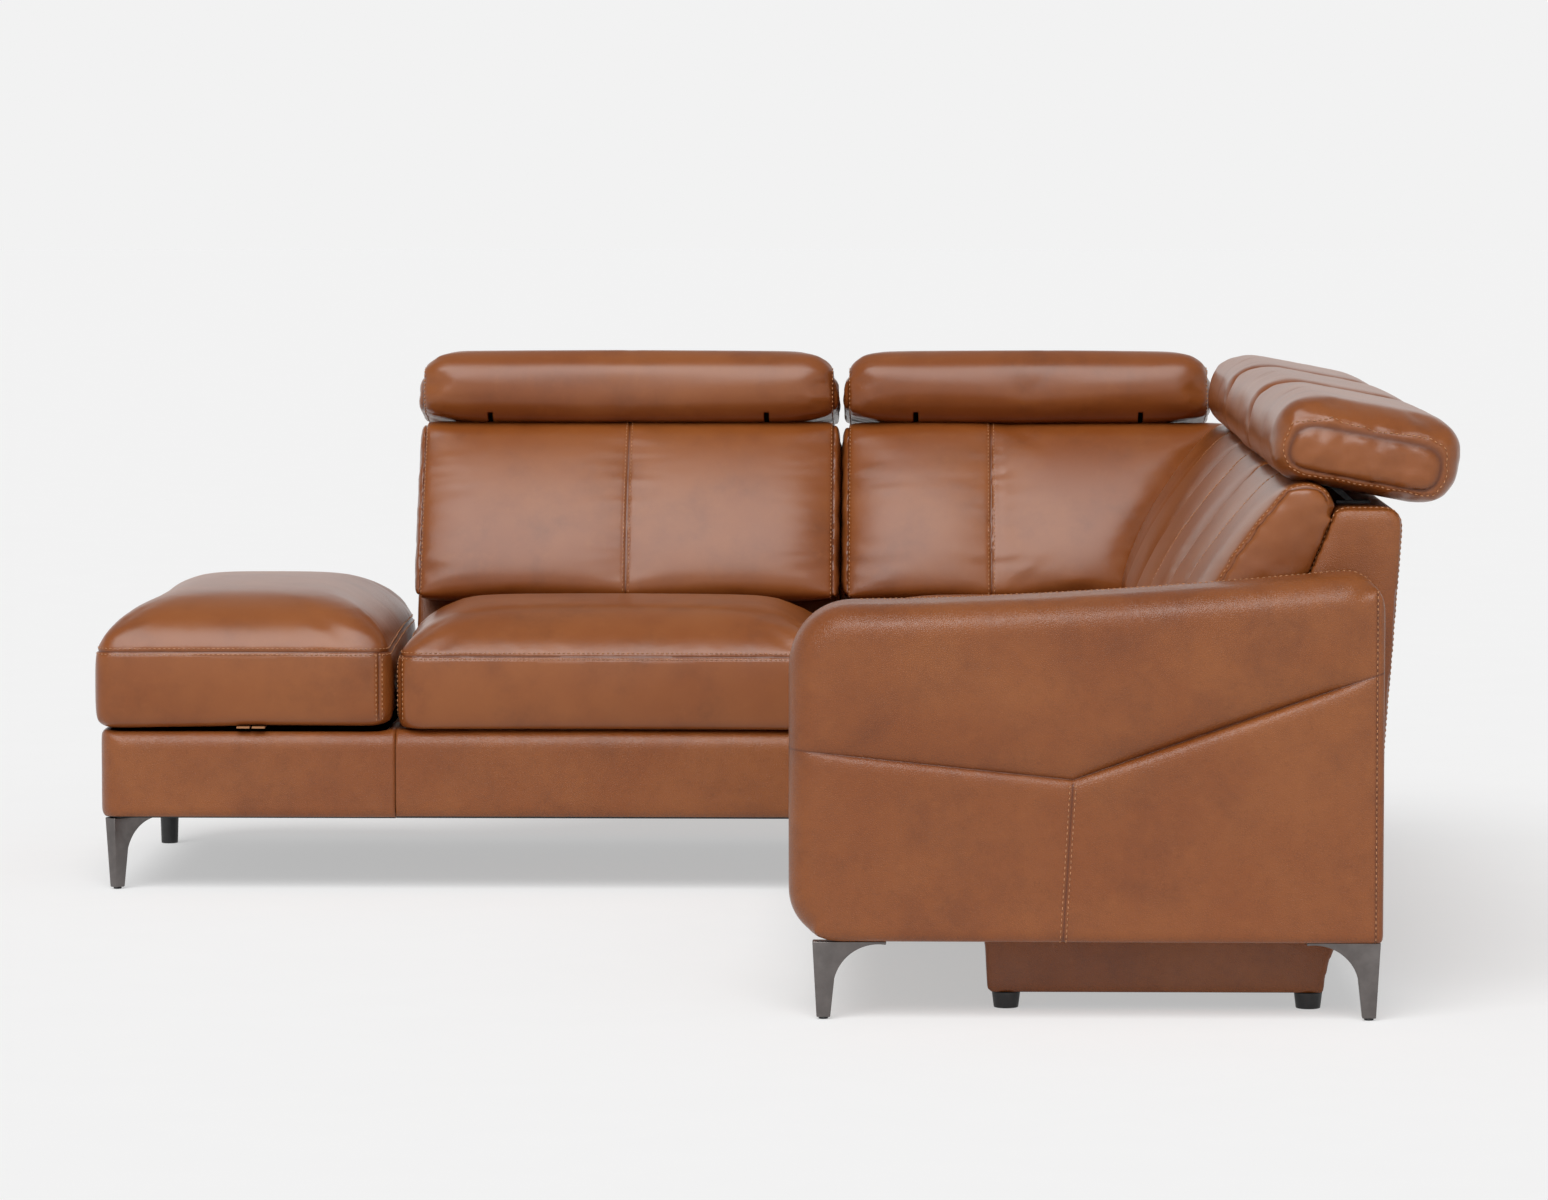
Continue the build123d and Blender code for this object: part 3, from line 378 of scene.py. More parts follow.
def lines_on(piece: Piece, seam: Seam, offset: float) -> list[tuple[np.ndarray, np.ndarray]]:
    """Where a seam's plane, moved by an offset, meets a piece.

    Returns:
        For each unbroken line its points and the leather's normals there.
    """
    points, normals = points_of(piece), normals_of(piece)
    side = seam.distance(points) - offset + NUDGE
    mesh = piece.data
    ends = np.empty(len(mesh.edges) * 2, np.int32)
    mesh.edges.foreach_get("vertices", ends)
    first, second = ends.reshape(-1, 2).T
    crossed = side[first] * side[second] < 0
    share = np.where(crossed, side[first] / np.where(crossed, side[first] - side[second], 1.0), 0.0)[:, None]
    spots = points[first] + (points[second] - points[first]) * share
    turned = normals[first] + (normals[second] - normals[first]) * share
    loop_edges = np.empty(len(mesh.loops), np.int32)
    mesh.loops.foreach_get("edge_index", loop_edges)
    corners = np.empty(len(mesh.polygons), np.int32)
    mesh.polygons.foreach_get("loop_total", corners)
    owners = np.repeat(np.arange(len(corners)), corners)
    hits = np.nonzero(crossed[loop_edges])[0]
    _, starts, counts = np.unique(owners[hits], return_index=True, return_counts=True)
    beside: dict[int, list[int]] = {}
    for at in starts[counts == 2]:
        here, there = (int(loop_edges[hit]) for hit in hits[at:at + 2])
        beside.setdefault(here, []).append(there)
        beside.setdefault(there, []).append(here)
    lines = []
    while beside:
        loose = [edge for edge, others in beside.items() if len(others) == 1]
        here = loose[0] if loose else next(iter(beside))
        chain = [here]
        while beside.get(here):
            there = beside[here].pop()
            beside[there].remove(here)
            if not beside[here]:
                del beside[here]
            here = there
            chain.append(here)
        beside.pop(here, None)
        lines.append((spots[chain], turned[chain]))
    return lines


@dataclass(frozen=True)
class Thread:
    """Sewing thread: the size and pitch of one stitch."""

    pitch: float = 0.0084
    length: float = 0.0058
    width: float = 0.0019
    lift: float = 0.0006
    look_ahead: float = 0.002
    shortest: float = 1e-6

    def template(self) -> tuple[np.ndarray, list[tuple[int, ...]]]:
        """One stitch along X, as points and faces."""
        bpy.ops.object.select_all(action="DESELECT")
        bpy.ops.mesh.primitive_ico_sphere_add(subdivisions=1, radius=1.0)
        ball = bpy.context.object
        points = points_of(ball) * (self.length / 2, self.width / 2, self.width / 2)
        faces = [tuple(face.vertices) for face in ball.data.polygons]
        bpy.data.objects.remove(ball)
        return points, faces

    def sew(self, piece: Piece, seams: Sequence[Seam], name: str) -> Optional[Piece]:
        """Lay stitches along the rows of the seams of a piece.

        Args:
            piece: the finished leather.
            seams: its seams.
            name: name of the piece that holds the stitches.

        Returns:
            The stitches as one piece, or None if no seam shows.
        """
        template, faces = self.template()
        places = []
        for seam in seams:
            for offset in seam.rows():
                for line, normals in lines_on(piece, seam, offset):
                    places.extend(self.spots(line, normals, seam))
        if not places:
            return None
        points = np.concatenate([template @ turn + spot for spot, turn in places])
        count = len(template)
        all_faces = [tuple(i + count * k for i in face) for k in range(len(places)) for face in faces]
        mesh = bpy.data.meshes.new(name)
        mesh.from_pydata(points.tolist(), [], all_faces)
        mesh.polygons.foreach_set("use_smooth", np.ones(len(all_faces), bool))
        mesh.update()
        return new_piece(name, mesh)

    def spots(self, line: np.ndarray, normals: np.ndarray, seam: Seam) -> list[tuple[np.ndarray, np.ndarray]]:
        """Places and turns of the stitches along one line."""
        steps = np.linalg.norm(np.diff(line, axis=0), axis=1)
        run = np.concatenate([[0.0], np.cumsum(steps)])
        found = []
        for at in np.arange(self.pitch / 2, run[-1], self.pitch):
            spot = np.array([np.interp(at, run, line[:, axis]) for axis in range(3)])
            ahead = np.array([np.interp(at + self.look_ahead, run, line[:, axis]) for axis in range(3)])
            up = np.array([np.interp(at, run, normals[:, axis]) for axis in range(3)])
            forward = ahead - spot
            if np.linalg.norm(forward) < self.shortest or not seam.region(spot[None])[0]:
                continue
            forward /= np.linalg.norm(forward)
            up -= forward * (up @ forward)
            up /= max(np.linalg.norm(up), TINY)
            found.append((spot + up * self.lift, np.array([forward, np.cross(up, forward), up])))
        return found


@dataclass(frozen=True)
class Mottle:
    """A layer of noise: scale per metre, detail and roughness, the span used and the share given."""

    scale: float
    detail: float
    roughness: float = 0.55
    span: tuple[float, float] = (0.3, 0.7)
    reach: tuple[float, float] = (0.0, 1.0)


class Recipe:
    """The nodes of one material, with short ways to add the usual ones."""

    def __init__(self, name: str) -> None:
        """Start a material that reads the piece's own coordinates."""
        self.material = bpy.data.materials.new(name)
        self.material.use_nodes = True
        self.nodes = self.material.node_tree.nodes
        self.links = self.material.node_tree.links
        self.shader = self.nodes["Principled BSDF"]
        self.place = self.nodes.new("ShaderNodeTexCoord").outputs["Object"]

    def feed(self, socket: Socket, value: object) -> None:
        """Link a socket to another, or set its value."""
        if isinstance(value, Socket):
            self.links.new(value, socket)
        else:
            socket.default_value = value

    def noise(self, scale: float, detail: float, roughness: float = 0.55) -> Socket:
        """Noise of a given scale per metre."""
        node = self.nodes.new("ShaderNodeTexNoise")
        self.links.new(self.place, node.inputs["Vector"])
        node.inputs["Scale"].default_value = scale
        node.inputs["Detail"].default_value = detail
        node.inputs["Roughness"].default_value = roughness
        return node.outputs["Fac"]

    def cells(self, size: float) -> Socket:
        """How far a place is from the edge of its cell, for cells of a given size in metres."""
        node = self.nodes.new("ShaderNodeTexVoronoi")
        node.feature = "DISTANCE_TO_EDGE"
        self.links.new(self.place, node.inputs["Vector"])
        node.inputs["Scale"].default_value = 1.0 / size
        return node.outputs["Distance"]

    def attribute(self, name: str) -> Socket:
        """A value stored on the piece's points."""
        node = self.nodes.new("ShaderNodeAttribute")
        node.attribute_name = name
        return node.outputs["Fac"]

    def span(self, value: object, low: float, high: float, to_low: float, to_high: float) -> Socket:
        """A value carried from one span to another, smoothly, and kept inside it."""
        node = self.nodes.new("ShaderNodeMapRange")
        node.interpolation_type = "SMOOTHSTEP"
        for socket, amount in zip(node.inputs, (value, low, high, to_low, to_high)):
            self.feed(socket, amount)
        return node.outputs["Result"]

    def blend(self, share: object, first: object, second: object) -> Socket:
        """Two colours mixed by a share."""
        node = self.nodes.new("ShaderNodeMix")
        node.data_type = "RGBA"
        node.clamp_factor = True
        self.feed(node.inputs[0], share)
        for socket, value in ((node.inputs[6], first), (node.inputs[7], second)):
            self.feed(socket, value if isinstance(value, Socket) else (*value, 1.0))
        return node.outputs[2]

    def layer(self, mottle: Mottle) -> Socket:
        """A layer of noise as a share."""
        value = self.noise(mottle.scale, mottle.detail, mottle.roughness)
        return self.span(value, *mottle.span, *mottle.reach)

    def multiply(self, first: object, second: object) -> Socket:
        """Two values multiplied."""
        node = self.nodes.new("ShaderNodeMath")
        node.operation = "MULTIPLY"
        self.feed(node.inputs[0], first)
        self.feed(node.inputs[1], second)
        return node.outputs[0]

    def bump(self, height: Socket, distance: float, below: Optional[Socket] = None) -> Socket:
        """A relief of a given height in metres, laid over another."""
        node = self.nodes.new("ShaderNodeBump")
        node.inputs["Strength"].default_value = 1.0
        node.inputs["Distance"].default_value = distance
        self.links.new(height, node.inputs["Height"])
        if below is not None:
            self.links.new(below, node.inputs["Normal"])
        return node.outputs["Normal"]

    def shade(self, **inputs: object) -> bpy.types.Material:
        """Feed the shader's sockets, named with underscores for spaces, and give the material."""
        for name, value in inputs.items():
            self.feed(self.shader.inputs[name.replace("_", " ")], value)
        return self.material


@dataclass(frozen=True)
class Leather:
    """Semi-aniline leather: patches of deeper and lighter dye, a grain with painted shade in its creases, and
    painted shade along the seams.
    """

    name: str
    grain: Grain
    deep: Colour = (0.105, 0.025, 0.006)
    middle: Colour = (0.236, 0.064, 0.012)
    light: Colour = (0.330, 0.110, 0.028)
    roughness: tuple[float, float] = (0.285, 0.30)
    patches: Mottle = Mottle(3.4, 3.0, 0.6, (0.34, 0.66))
    clouds: Mottle = Mottle(9.0, 6.0, 0.66, (0.42, 0.80), (0.0, 0.42))
    rubbed: Mottle = Mottle(38.0, 6.0, 0.68, (0.50, 0.80), (0.0, 0.30))
    crease_shade_patches: Mottle = Mottle(60.0, 3.0, span=(0.35, 0.7))
    least_crease_shade: float = 0.3
    sheen: Mottle = Mottle(19.0, 4.0)
    crease_width: float = 0.16
    pebble_width: float = 0.3
    # How dark the painted shade along the seams gets.
    seam_painted_shade: float = 0.85
    pores: tuple[float, float] = (140.0, 3.0)
    pore_share: float = 0.5
    waves: tuple[float, float] = (12.0, 1.0)
    wave_height: float = 0.00008
    refraction: float = 1.47

    def make(self) -> bpy.types.Material:
        """Make the material."""
        recipe = Recipe(self.name)
        size, height, crease_shade = self.grain.value
        paler = tuple((first + second) / 2 for first, second in zip(self.middle, self.light))
        colour = recipe.blend(recipe.layer(self.patches), self.middle, paler)
        colour = recipe.blend(recipe.layer(self.clouds), colour, self.deep)
        colour = recipe.blend(recipe.layer(self.rubbed), colour, self.light)
        # Painted shade in the grain's creases, darker in some patches than in others.
        creases = recipe.span(recipe.cells(size), 0.0, self.crease_width, 1.0, 0.0)
        crease_shade_share = recipe.layer(replace(self.crease_shade_patches, reach=(self.least_crease_shade * crease_shade, crease_shade)))
        colour = recipe.blend(recipe.multiply(creases, crease_shade_share), colour, self.deep)
        # Painted shade along the seams, read from the stored point attribute.
        seam = recipe.span(recipe.attribute("seam_painted_shade"), 0.0, 1.0, 0.0, self.seam_painted_shade)
        colour = recipe.blend(seam, colour, self.deep)
        domes = recipe.span(recipe.cells(size), 0.0, self.pebble_width, 0.0, 1.0)
        pebbles = recipe.bump(domes, height)
        soft = recipe.bump(recipe.noise(*self.pores), height * self.pore_share, pebbles)
        normal = recipe.bump(recipe.noise(*self.waves), self.wave_height, soft)
        gloss = recipe.layer(replace(self.sheen, reach=self.roughness))
        return recipe.shade(Base_Color=colour, Roughness=gloss, Normal=normal, IOR=self.refraction)


@dataclass(frozen=True)
class PlainFinish:
    """Plastic, metal, thread or painted finish with faint mottling and fine relief."""

    name: str
    colour: Colour
    roughness: float
    metallic: float = 0.0
    mottle: float = 0.18
    relief: float = 0.00004
    relief_scale: float = 900.0
    relief_detail: float = 3.0
    specks: Mottle = Mottle(48.0, 5.0)
    sheen: Mottle = Mottle(90.0, 3.0)
    uneven: float = 0.12

    def make(self) -> bpy.types.Material:
        """Make the material."""
        recipe = Recipe(self.name)
        darker = tuple(part * (1 - self.mottle) for part in self.colour)
        lighter = tuple(min(part * (1 + self.mottle), 1.0) for part in self.colour)
        colour = recipe.blend(recipe.layer(self.specks), darker, lighter)
        glosses = (self.roughness * (1 - self.uneven), self.roughness * (1 + self.uneven))
        gloss = recipe.layer(replace(self.sheen, reach=glosses))
        normal = recipe.bump(recipe.noise(self.relief_scale, self.relief_detail), self.relief)
        return recipe.shade(Base_Color=colour, Roughness=gloss, Normal=normal, Metallic=self.metallic)


@dataclass(frozen=True)
class Plywood:
    """Bare board: long grain with growth bands along one axis."""

    name: str
    pale: Colour = (0.62, 0.44, 0.26)
    dark: Colour = (0.40, 0.25, 0.13)
    stretch: tuple[float, float, float] = (1.0, 0.06, 1.0)
    bands: Mottle = Mottle(45.0, 6.0, 0.65, (0.35, 0.68))
    fibres: Mottle = Mottle(400.0, 3.0, span=(0.4, 0.8), reach=(0.0, 0.4))
    roughness: float = 0.62
    relief: float = 0.0002

    def make(self) -> bpy.types.Material:
        """Make the material."""
        recipe = Recipe(self.name)
        stretch = recipe.nodes.new("ShaderNodeMapping")
        stretch.inputs["Scale"].default_value = self.stretch
        recipe.links.new(recipe.place, stretch.inputs["Vector"])
        recipe.place = stretch.outputs["Vector"]
        bands, fibres = recipe.layer(self.bands), recipe.layer(self.fibres)
        colour = recipe.blend(fibres, recipe.blend(bands, self.pale, self.dark), self.dark)
        normal = recipe.bump(bands, self.relief)
        return recipe.shade(Base_Color=colour, Roughness=self.roughness, Normal=normal)


@dataclass(frozen=True)
class Weave:
    """Woven cloth: crossing ribs of a given pitch."""

    name: str
    warp: Colour
    weft: Colour
    pitch: float = 0.0025
    rib_rate: float = 0.31
    wobble: float = 0.4
    roughness: float = 0.85
    relief: float = 0.0004

    def make(self) -> bpy.types.Material:
        """Make the material."""
        recipe = Recipe(self.name)
        ribs = []
        for direction in ("X", "Y"):
            wave = recipe.nodes.new("ShaderNodeTexWave")
            wave.bands_direction = direction
            wave.inputs["Scale"].default_value = self.rib_rate / self.pitch
            wave.inputs["Distortion"].default_value = self.wobble
            recipe.links.new(recipe.place, wave.inputs["Vector"])
            ribs.append(wave.outputs["Fac"])
        crossing = recipe.multiply(*ribs)
        colour = recipe.blend(crossing, self.warp, self.weft)
        normal = recipe.bump(crossing, self.relief)
        return recipe.shade(Base_Color=colour, Roughness=self.roughness, Normal=normal)


class Finishes:
    """All finishes of the sofa, each made once."""

    def __init__(self) -> None:
        """Make the materials."""
        self.smooth = Leather("smooth_leather", Grain.SMOOTH).make()
        self.pebble = Leather("pebble_leather", Grain.PEBBLE, roughness=(0.29, 0.37)).make()
        self.thread = PlainFinish("tan_thread", (0.46, 0.21, 0.095), 0.6, relief=0.0001).make()
        self.tan = Leather(
            "tan_tab_leather", Grain.SMOOTH, deep=(0.20, 0.08, 0.03), middle=(0.30, 0.13, 0.05),
            light=(0.42, 0.20, 0.08), roughness=(0.5, 0.62),
        ).make()
        self.gunmetal = PlainFinish(
            "gunmetal", (0.155, 0.140, 0.135), 0.33, metallic=1.0, mottle=0.10, relief=0.00001,
        ).make()
        self.plastic = PlainFinish("black_plastic", (0.014, 0.014, 0.015), 0.48).make()
        self.button = PlainFinish("button_plastic", (0.05, 0.05, 0.052), 0.40).make()
        self.steel = PlainFinish("black_powder_coat", (0.022, 0.022, 0.024), 0.52, relief=0.00006,
                                 relief_scale=1600.0).make()
        self.zinc = PlainFinish("zinc_plate", (0.55, 0.54, 0.50), 0.30, metallic=1.0, mottle=0.12).make()
        self.timber = Plywood("plywood").make()
        self.webbing = Weave("elastic_webbing", (0.02, 0.02, 0.022), (0.10, 0.10, 0.105)).make()
        self.lining = Weave("black_lining", (0.012, 0.012, 0.013), (0.035, 0.035, 0.036), 0.0014).make()

    def for_slot(self, slot: str) -> bpy.types.Material:
        """The finish of one of the record's material slots."""
        return {
            "leather": self.pebble, "tan_leather": self.tan, "timber": self.timber,
            "gunmetal": self.gunmetal, "black_plastic": self.plastic, "button": self.button,
            "black_steel": self.steel, "zinc": self.zinc, "webbing": self.webbing, "black_cloth": self.lining,
        }[slot]


def dress(piece: Piece, *materials: bpy.types.Material) -> None:
    """Give a piece its materials and smooth shading."""
    piece.data.materials.clear()
    for material in materials:
        piece.data.materials.append(material)
    piece.data.polygons.foreach_set("use_smooth", np.ones(len(piece.data.polygons), bool))
    piece.data.update()


def body_of(node: str) -> str:
    """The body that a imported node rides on."""
    return frame["nodes"][node]["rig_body"]


def hand_over(piece: Piece, slot: str, *nodes: str, body: str = "") -> None:
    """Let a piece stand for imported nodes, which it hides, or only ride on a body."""
    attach(piece, body or body_of(nodes[0]))
    if nodes:
        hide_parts(*nodes)


def sew_on(piece: Piece, seams: Sequence[Seam], name: str, finishes: Finishes) -> None:
    """Sew the seams of a piece with thread that rides along with it.

    Args:
        piece: the finished leather, already handed over.
        seams: the seams that show stitches.
        name: name of the piece that holds the stitches.
        finishes: the sofa's finishes.
    """
    stitches = Thread().sew(piece, seams, name)
    if stitches is not None:
        dress(stitches, finishes.thread)
        hand_over(stitches, "leather", body=piece["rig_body"])


@dataclass
class Padding:
    """A stuffed leather piece: fineness, how far it is drawn in first and may swell, and its fill, which is not
    used.
    """

    name: str
    nodes: tuple[str, ...]
    finishes: Finishes
    seams: list[Seam] = field(default_factory=list)
    voxel: float = 0.013
    slack: tuple[float, float, float] = (0.006, 0.006, 0.006)
    cap: float = 0.010
    fill: float = 0.8
    easing: int = 6
    evening: int = 8
    swell: tuple[float, float, float] = (0.0, 0.0, 0.0)
    settle: float = 0.0
    held_reach: float = 0.012

    def shape(self) -> Piece:
        """The piece before it is stuffed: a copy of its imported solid."""
        return copy_of_node(self.nodes[0], self.name)

    def held(self, points: np.ndarray) -> np.ndarray:
        """Points that rest on what carries the piece."""
        return points[:, Z_AXIS] < points[:, Z_AXIS].min() + self.held_reach

    def material(self) -> bpy.types.Material:
        """The leather of the piece."""
        return self.finishes.smooth

    def build(self) -> Piece:
        """Build, stuff, sew and hand over the piece."""
        piece = self.shape()
        low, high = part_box(self.nodes[0])
        shrink(piece, self.slack)
        remesh(piece, self.voxel, self.easing)
        inflate(piece, self.seams, self.held, self.cap)
        finish_with(piece, "SUBSURF", levels=1, render_levels=1)
        finish_with(piece, "SMOOTH", factor=SMOOTHING, iterations=self.evening)
        fill_box(piece, np.array(low) - self.swell - unit(Z_AXIS) * self.settle, np.array(high) + self.swell)
        carve(piece, self.seams, seed=float(sum(low)))
        self.cut(piece)
        dress(piece, self.material())
        hand_over(piece, "leather", *self.nodes)
        sew_on(piece, self.seams, self.name + "_stitches", self.finishes)
        return piece

    def cut(self, piece: Piece) -> None:
        """Cuts made after sewing; most pieces have none."""


@dataclass
class SeatCushion(Padding):
    """A box cushion: a crowned top sewn to a band, with upright seams near the front corners."""

    facing: Facing = Facing.MAIN
    seam_height: float = 0.402
    corner_seam: float = 0.022
    rear_margin: float = 0.055
    crown: float = 0.006
    settle: float = 0.0028
    low_corner: bool = True
    droop: float = 0.0
    droop_reach: float = 0.26
    droop_height: float = 0.08
    droop_power: float = 0.5
    crown_depth: float = 0.9
    band_depth: float = 0.06
    band_foot: float = 0.012
    corner_pucker: float = 0.0006

    def cut(self, piece: Piece) -> None:
        """Lift the crown, but not the rear edge under the back cushion, and let the low end droop."""
        points = points_of(piece)
        low, high = points.min(axis=0), points.max(axis=0)
        width, depth = self.facing.value
        across = (points[:, width] - low[width]) / (high[width] - low[width])
        along = ramp((points[:, depth] - low[depth]) / (high[depth] - low[depth]), self.crown_depth)
        above = ramp(points[:, Z_AXIS] - self.seam_height, high[Z_AXIS] - self.seam_height)
        points[:, Z_AXIS] += self.crown * above * np.sin(np.pi * across) * np.sin(np.pi * along)
        hanging = (1 - ramp(points[:, width] - low[width], self.droop_reach)) ** self.droop_power
        near_foot = 1 - ramp(points[:, Z_AXIS] - low[Z_AXIS], self.droop_height)
        points[:, Z_AXIS] -= self.droop * hanging * near_foot
        set_points(piece, points)

    def __post_init__(self) -> None:
        """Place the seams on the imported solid."""
        low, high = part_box(self.nodes[0])
        width, depth = self.facing.value
        rear = high[depth] - self.rear_margin
        front = low[depth] + self.band_depth
        floor = low[Z_AXIS] + self.band_foot

        def on_band(points: np.ndarray) -> np.ndarray:
            """Points on the front of the band."""
            between = (points[:, Z_AXIS] < self.seam_height) & (points[:, Z_AXIS] > floor)
            return between & (points[:, depth] < front)

        self.seams.append(seam_across(Z_AXIS, self.seam_height, region=lambda p: p[:, depth] < rear))
        corners = [high[width] - self.corner_seam]
        if self.low_corner:
            corners.append(low[width] + self.corner_seam)
        for at in corners:
            self.seams.append(seam_across(width, at, pucker=self.corner_pucker, region=on_band))


@dataclass
class FootrestPad(Padding):
    """The thin pad on the footrest board, sewn along its rim."""

    rim: float = 0.014
    rim_pucker: float = 0.0006
    held_reach: float = 0.008

    def __post_init__(self) -> None:
        """Place the seam along the rim."""
        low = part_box(self.nodes[0])[0]
        self.seams.append(seam_across(X_AXIS, low[X_AXIS] + self.rim, double=False, pucker=self.rim_pucker))

    def held(self, points: np.ndarray) -> np.ndarray:
        """Points on the board."""
        return points[:, X_AXIS] > points[:, X_AXIS].max() - self.held_reach


FOOT_BAND = 0.001
HEAD_BAND = 0.010
STATION_BAND = 0.0015
QUARTER_STEPS = 12
MITRE_LIMIT = 0.5


def front_line(node: str, depth: int) -> Callable[[np.ndarray], np.ndarray]:
    """The sloping front of a back frame.

    Args:
        node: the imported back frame.
        depth: axis of its depth.

    Returns:
        A function that gives the depth of the slope at each height.
    """
    points = points_of(frame["nodes"][node])
    heights = points[:, Z_AXIS]
    foot = points[heights < heights.min() + FOOT_BAND][:, depth].min()
    head = points[heights > heights.max() - HEAD_BAND]
    top = head[head[:, depth].argmin()]
    slope = (top[depth] - foot) / (top[Z_AXIS] - heights.min())
    return lambda z: foot + (z - heights.min()) * slope


@dataclass
class BackCushion(Padding):
    """A back cushion with a seam up its middle and a seam round each free end."""

    facing: Facing = Facing.MAIN
    frame_node: str = ""
    seam_share: float = 0.5
    low_end: bool = True
    high_end: bool = True
    end_seam: float = 0.010
    end_station: float = 0.044
    end_round: float = 0.012
    pillow: float = 0.016
    pillow_reach: float = 0.11
    frame_clearance: float = 0.0012
    rear_blend: float = 0.04
    rear_push: float = 0.008
    top_band: float = 0.05
    round_steps: int = 6
    seam_margin: float = 0.018
    middle_pucker: float = 0.0012
    end_pucker: float = 0.0022
    end_depth: float = 0.0034
    pucker_reach: float = 0.05
    held_reach: float = 0.014

    def __post_init__(self) -> None:
        """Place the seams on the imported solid."""
        low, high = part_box(self.nodes[0])
        width, depth = self.facing.value
        self.line = front_line(self.frame_node, depth)

        def shows(points: np.ndarray) -> np.ndarray:
            """Points that stand clear of the back frame."""
            return points[:, depth] < self.line(points[:, Z_AXIS]) - self.seam_margin

        middle = low[width] + (high[width] - low[width]) * self.seam_share
        self.seams.append(seam_across(
            width, middle, region=shows, pucker=self.middle_pucker, pucker_reach=self.pucker_reach,
        ))
        ends = []
        if self.low_end:
            ends.append((low[width] + self.end_seam, STITCH_OFFSET))
        if self.high_end:
            ends.append((high[width] - self.end_seam, -STITCH_OFFSET))
        for at, row in ends:
            self.seams.append(seam_across(
                width, at, region=shows, double=False, row=row, depth=self.end_depth,
                pucker=self.end_pucker, pucker_reach=self.pucker_reach,
            ))

    def shape(self) -> Piece:
        """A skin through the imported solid's full section with sewn ends; mitred cushions keep their solid."""
        if not (self.low_end and self.high_end):
            return super().shape()
        low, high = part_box(self.nodes[0])
        width, depth = self.facing.value
        solid = points_of(frame["nodes"][self.nodes[0]])
        station = solid[np.abs(solid[:, width] - low[width] - self.end_station) < STATION_BAND]
        bottom = solid[solid[:, Z_AXIS] < low[Z_AXIS] + FOOT_BAND]
        rear = [solid[solid[:, depth].argmax()], bottom[bottom[:, depth].argmax()]]
        flat = np.unique(np.round(np.vstack([station, rear])[:, [depth, Z_AXIS]], 4), axis=0)
        middle = flat.mean(axis=0)
        flat = flat[np.argsort(-np.arctan2(flat[:, 1] - middle[1], flat[:, 0] - middle[0]))]
        inward = mitre_directions(np.roll(flat, 1, axis=0), flat, np.roll(flat, -1, axis=0))
        ends = []
        for step in range(self.round_steps + 1):
            turn = math.radians(90 * step / self.round_steps)
            ends.append((self.end_round * (1 - math.cos(turn)), self.end_round * (1 - math.sin(turn))))
        stations = [(low[width] + at, draw) for at, draw in ends]
        stations += [(high[width] - at, draw) for at, draw in reversed(ends)]
        return loft([ring_at(self.facing, at, flat + inward * draw) for at, draw in stations], self.name)

    def cut(self, piece: Piece) -> None:
        """Plump the front, full in the middle of each half, and lay the rear on the back frame."""
        points, normals = points_of(piece), normals_of(piece)
        low, high = points.min(axis=0), points.max(axis=0)
        width, depth = self.facing.value
        front = np.clip(-normals[:, depth], 0, 1)
        away = np.minimum(points[:, width] - low[width], high[width] - points[:, width])
        side = ramp(away, self.pillow_reach)
        up = (points[:, Z_AXIS] - low[Z_AXIS]) / (high[Z_AXIS] - low[Z_AXIS])
        full = np.sin(np.pi * np.clip(up, 0, 1)) * side * (2 - side)
        points[:, depth] -= front * self.pillow * full
        frame_line = self.line(points[:, Z_AXIS]) - self.frame_clearance
        near_frame = np.clip(1 + (points[:, depth] - frame_line) / self.rear_blend, 0, 1)
        backwards = points[:, depth] + self.rear_push * eased(near_frame)
        low_enough = points[:, Z_AXIS] < high[Z_AXIS] - self.top_band
        points[:, depth] = np.where(low_enough, np.minimum(backwards, frame_line), points[:, depth])
        set_points(piece, points)

    def held(self, points: np.ndarray) -> np.ndarray:
        """Points that lie on the back frame."""
        return points[:, self.facing.depth] > self.line(points[:, Z_AXIS]) - self.held_reach


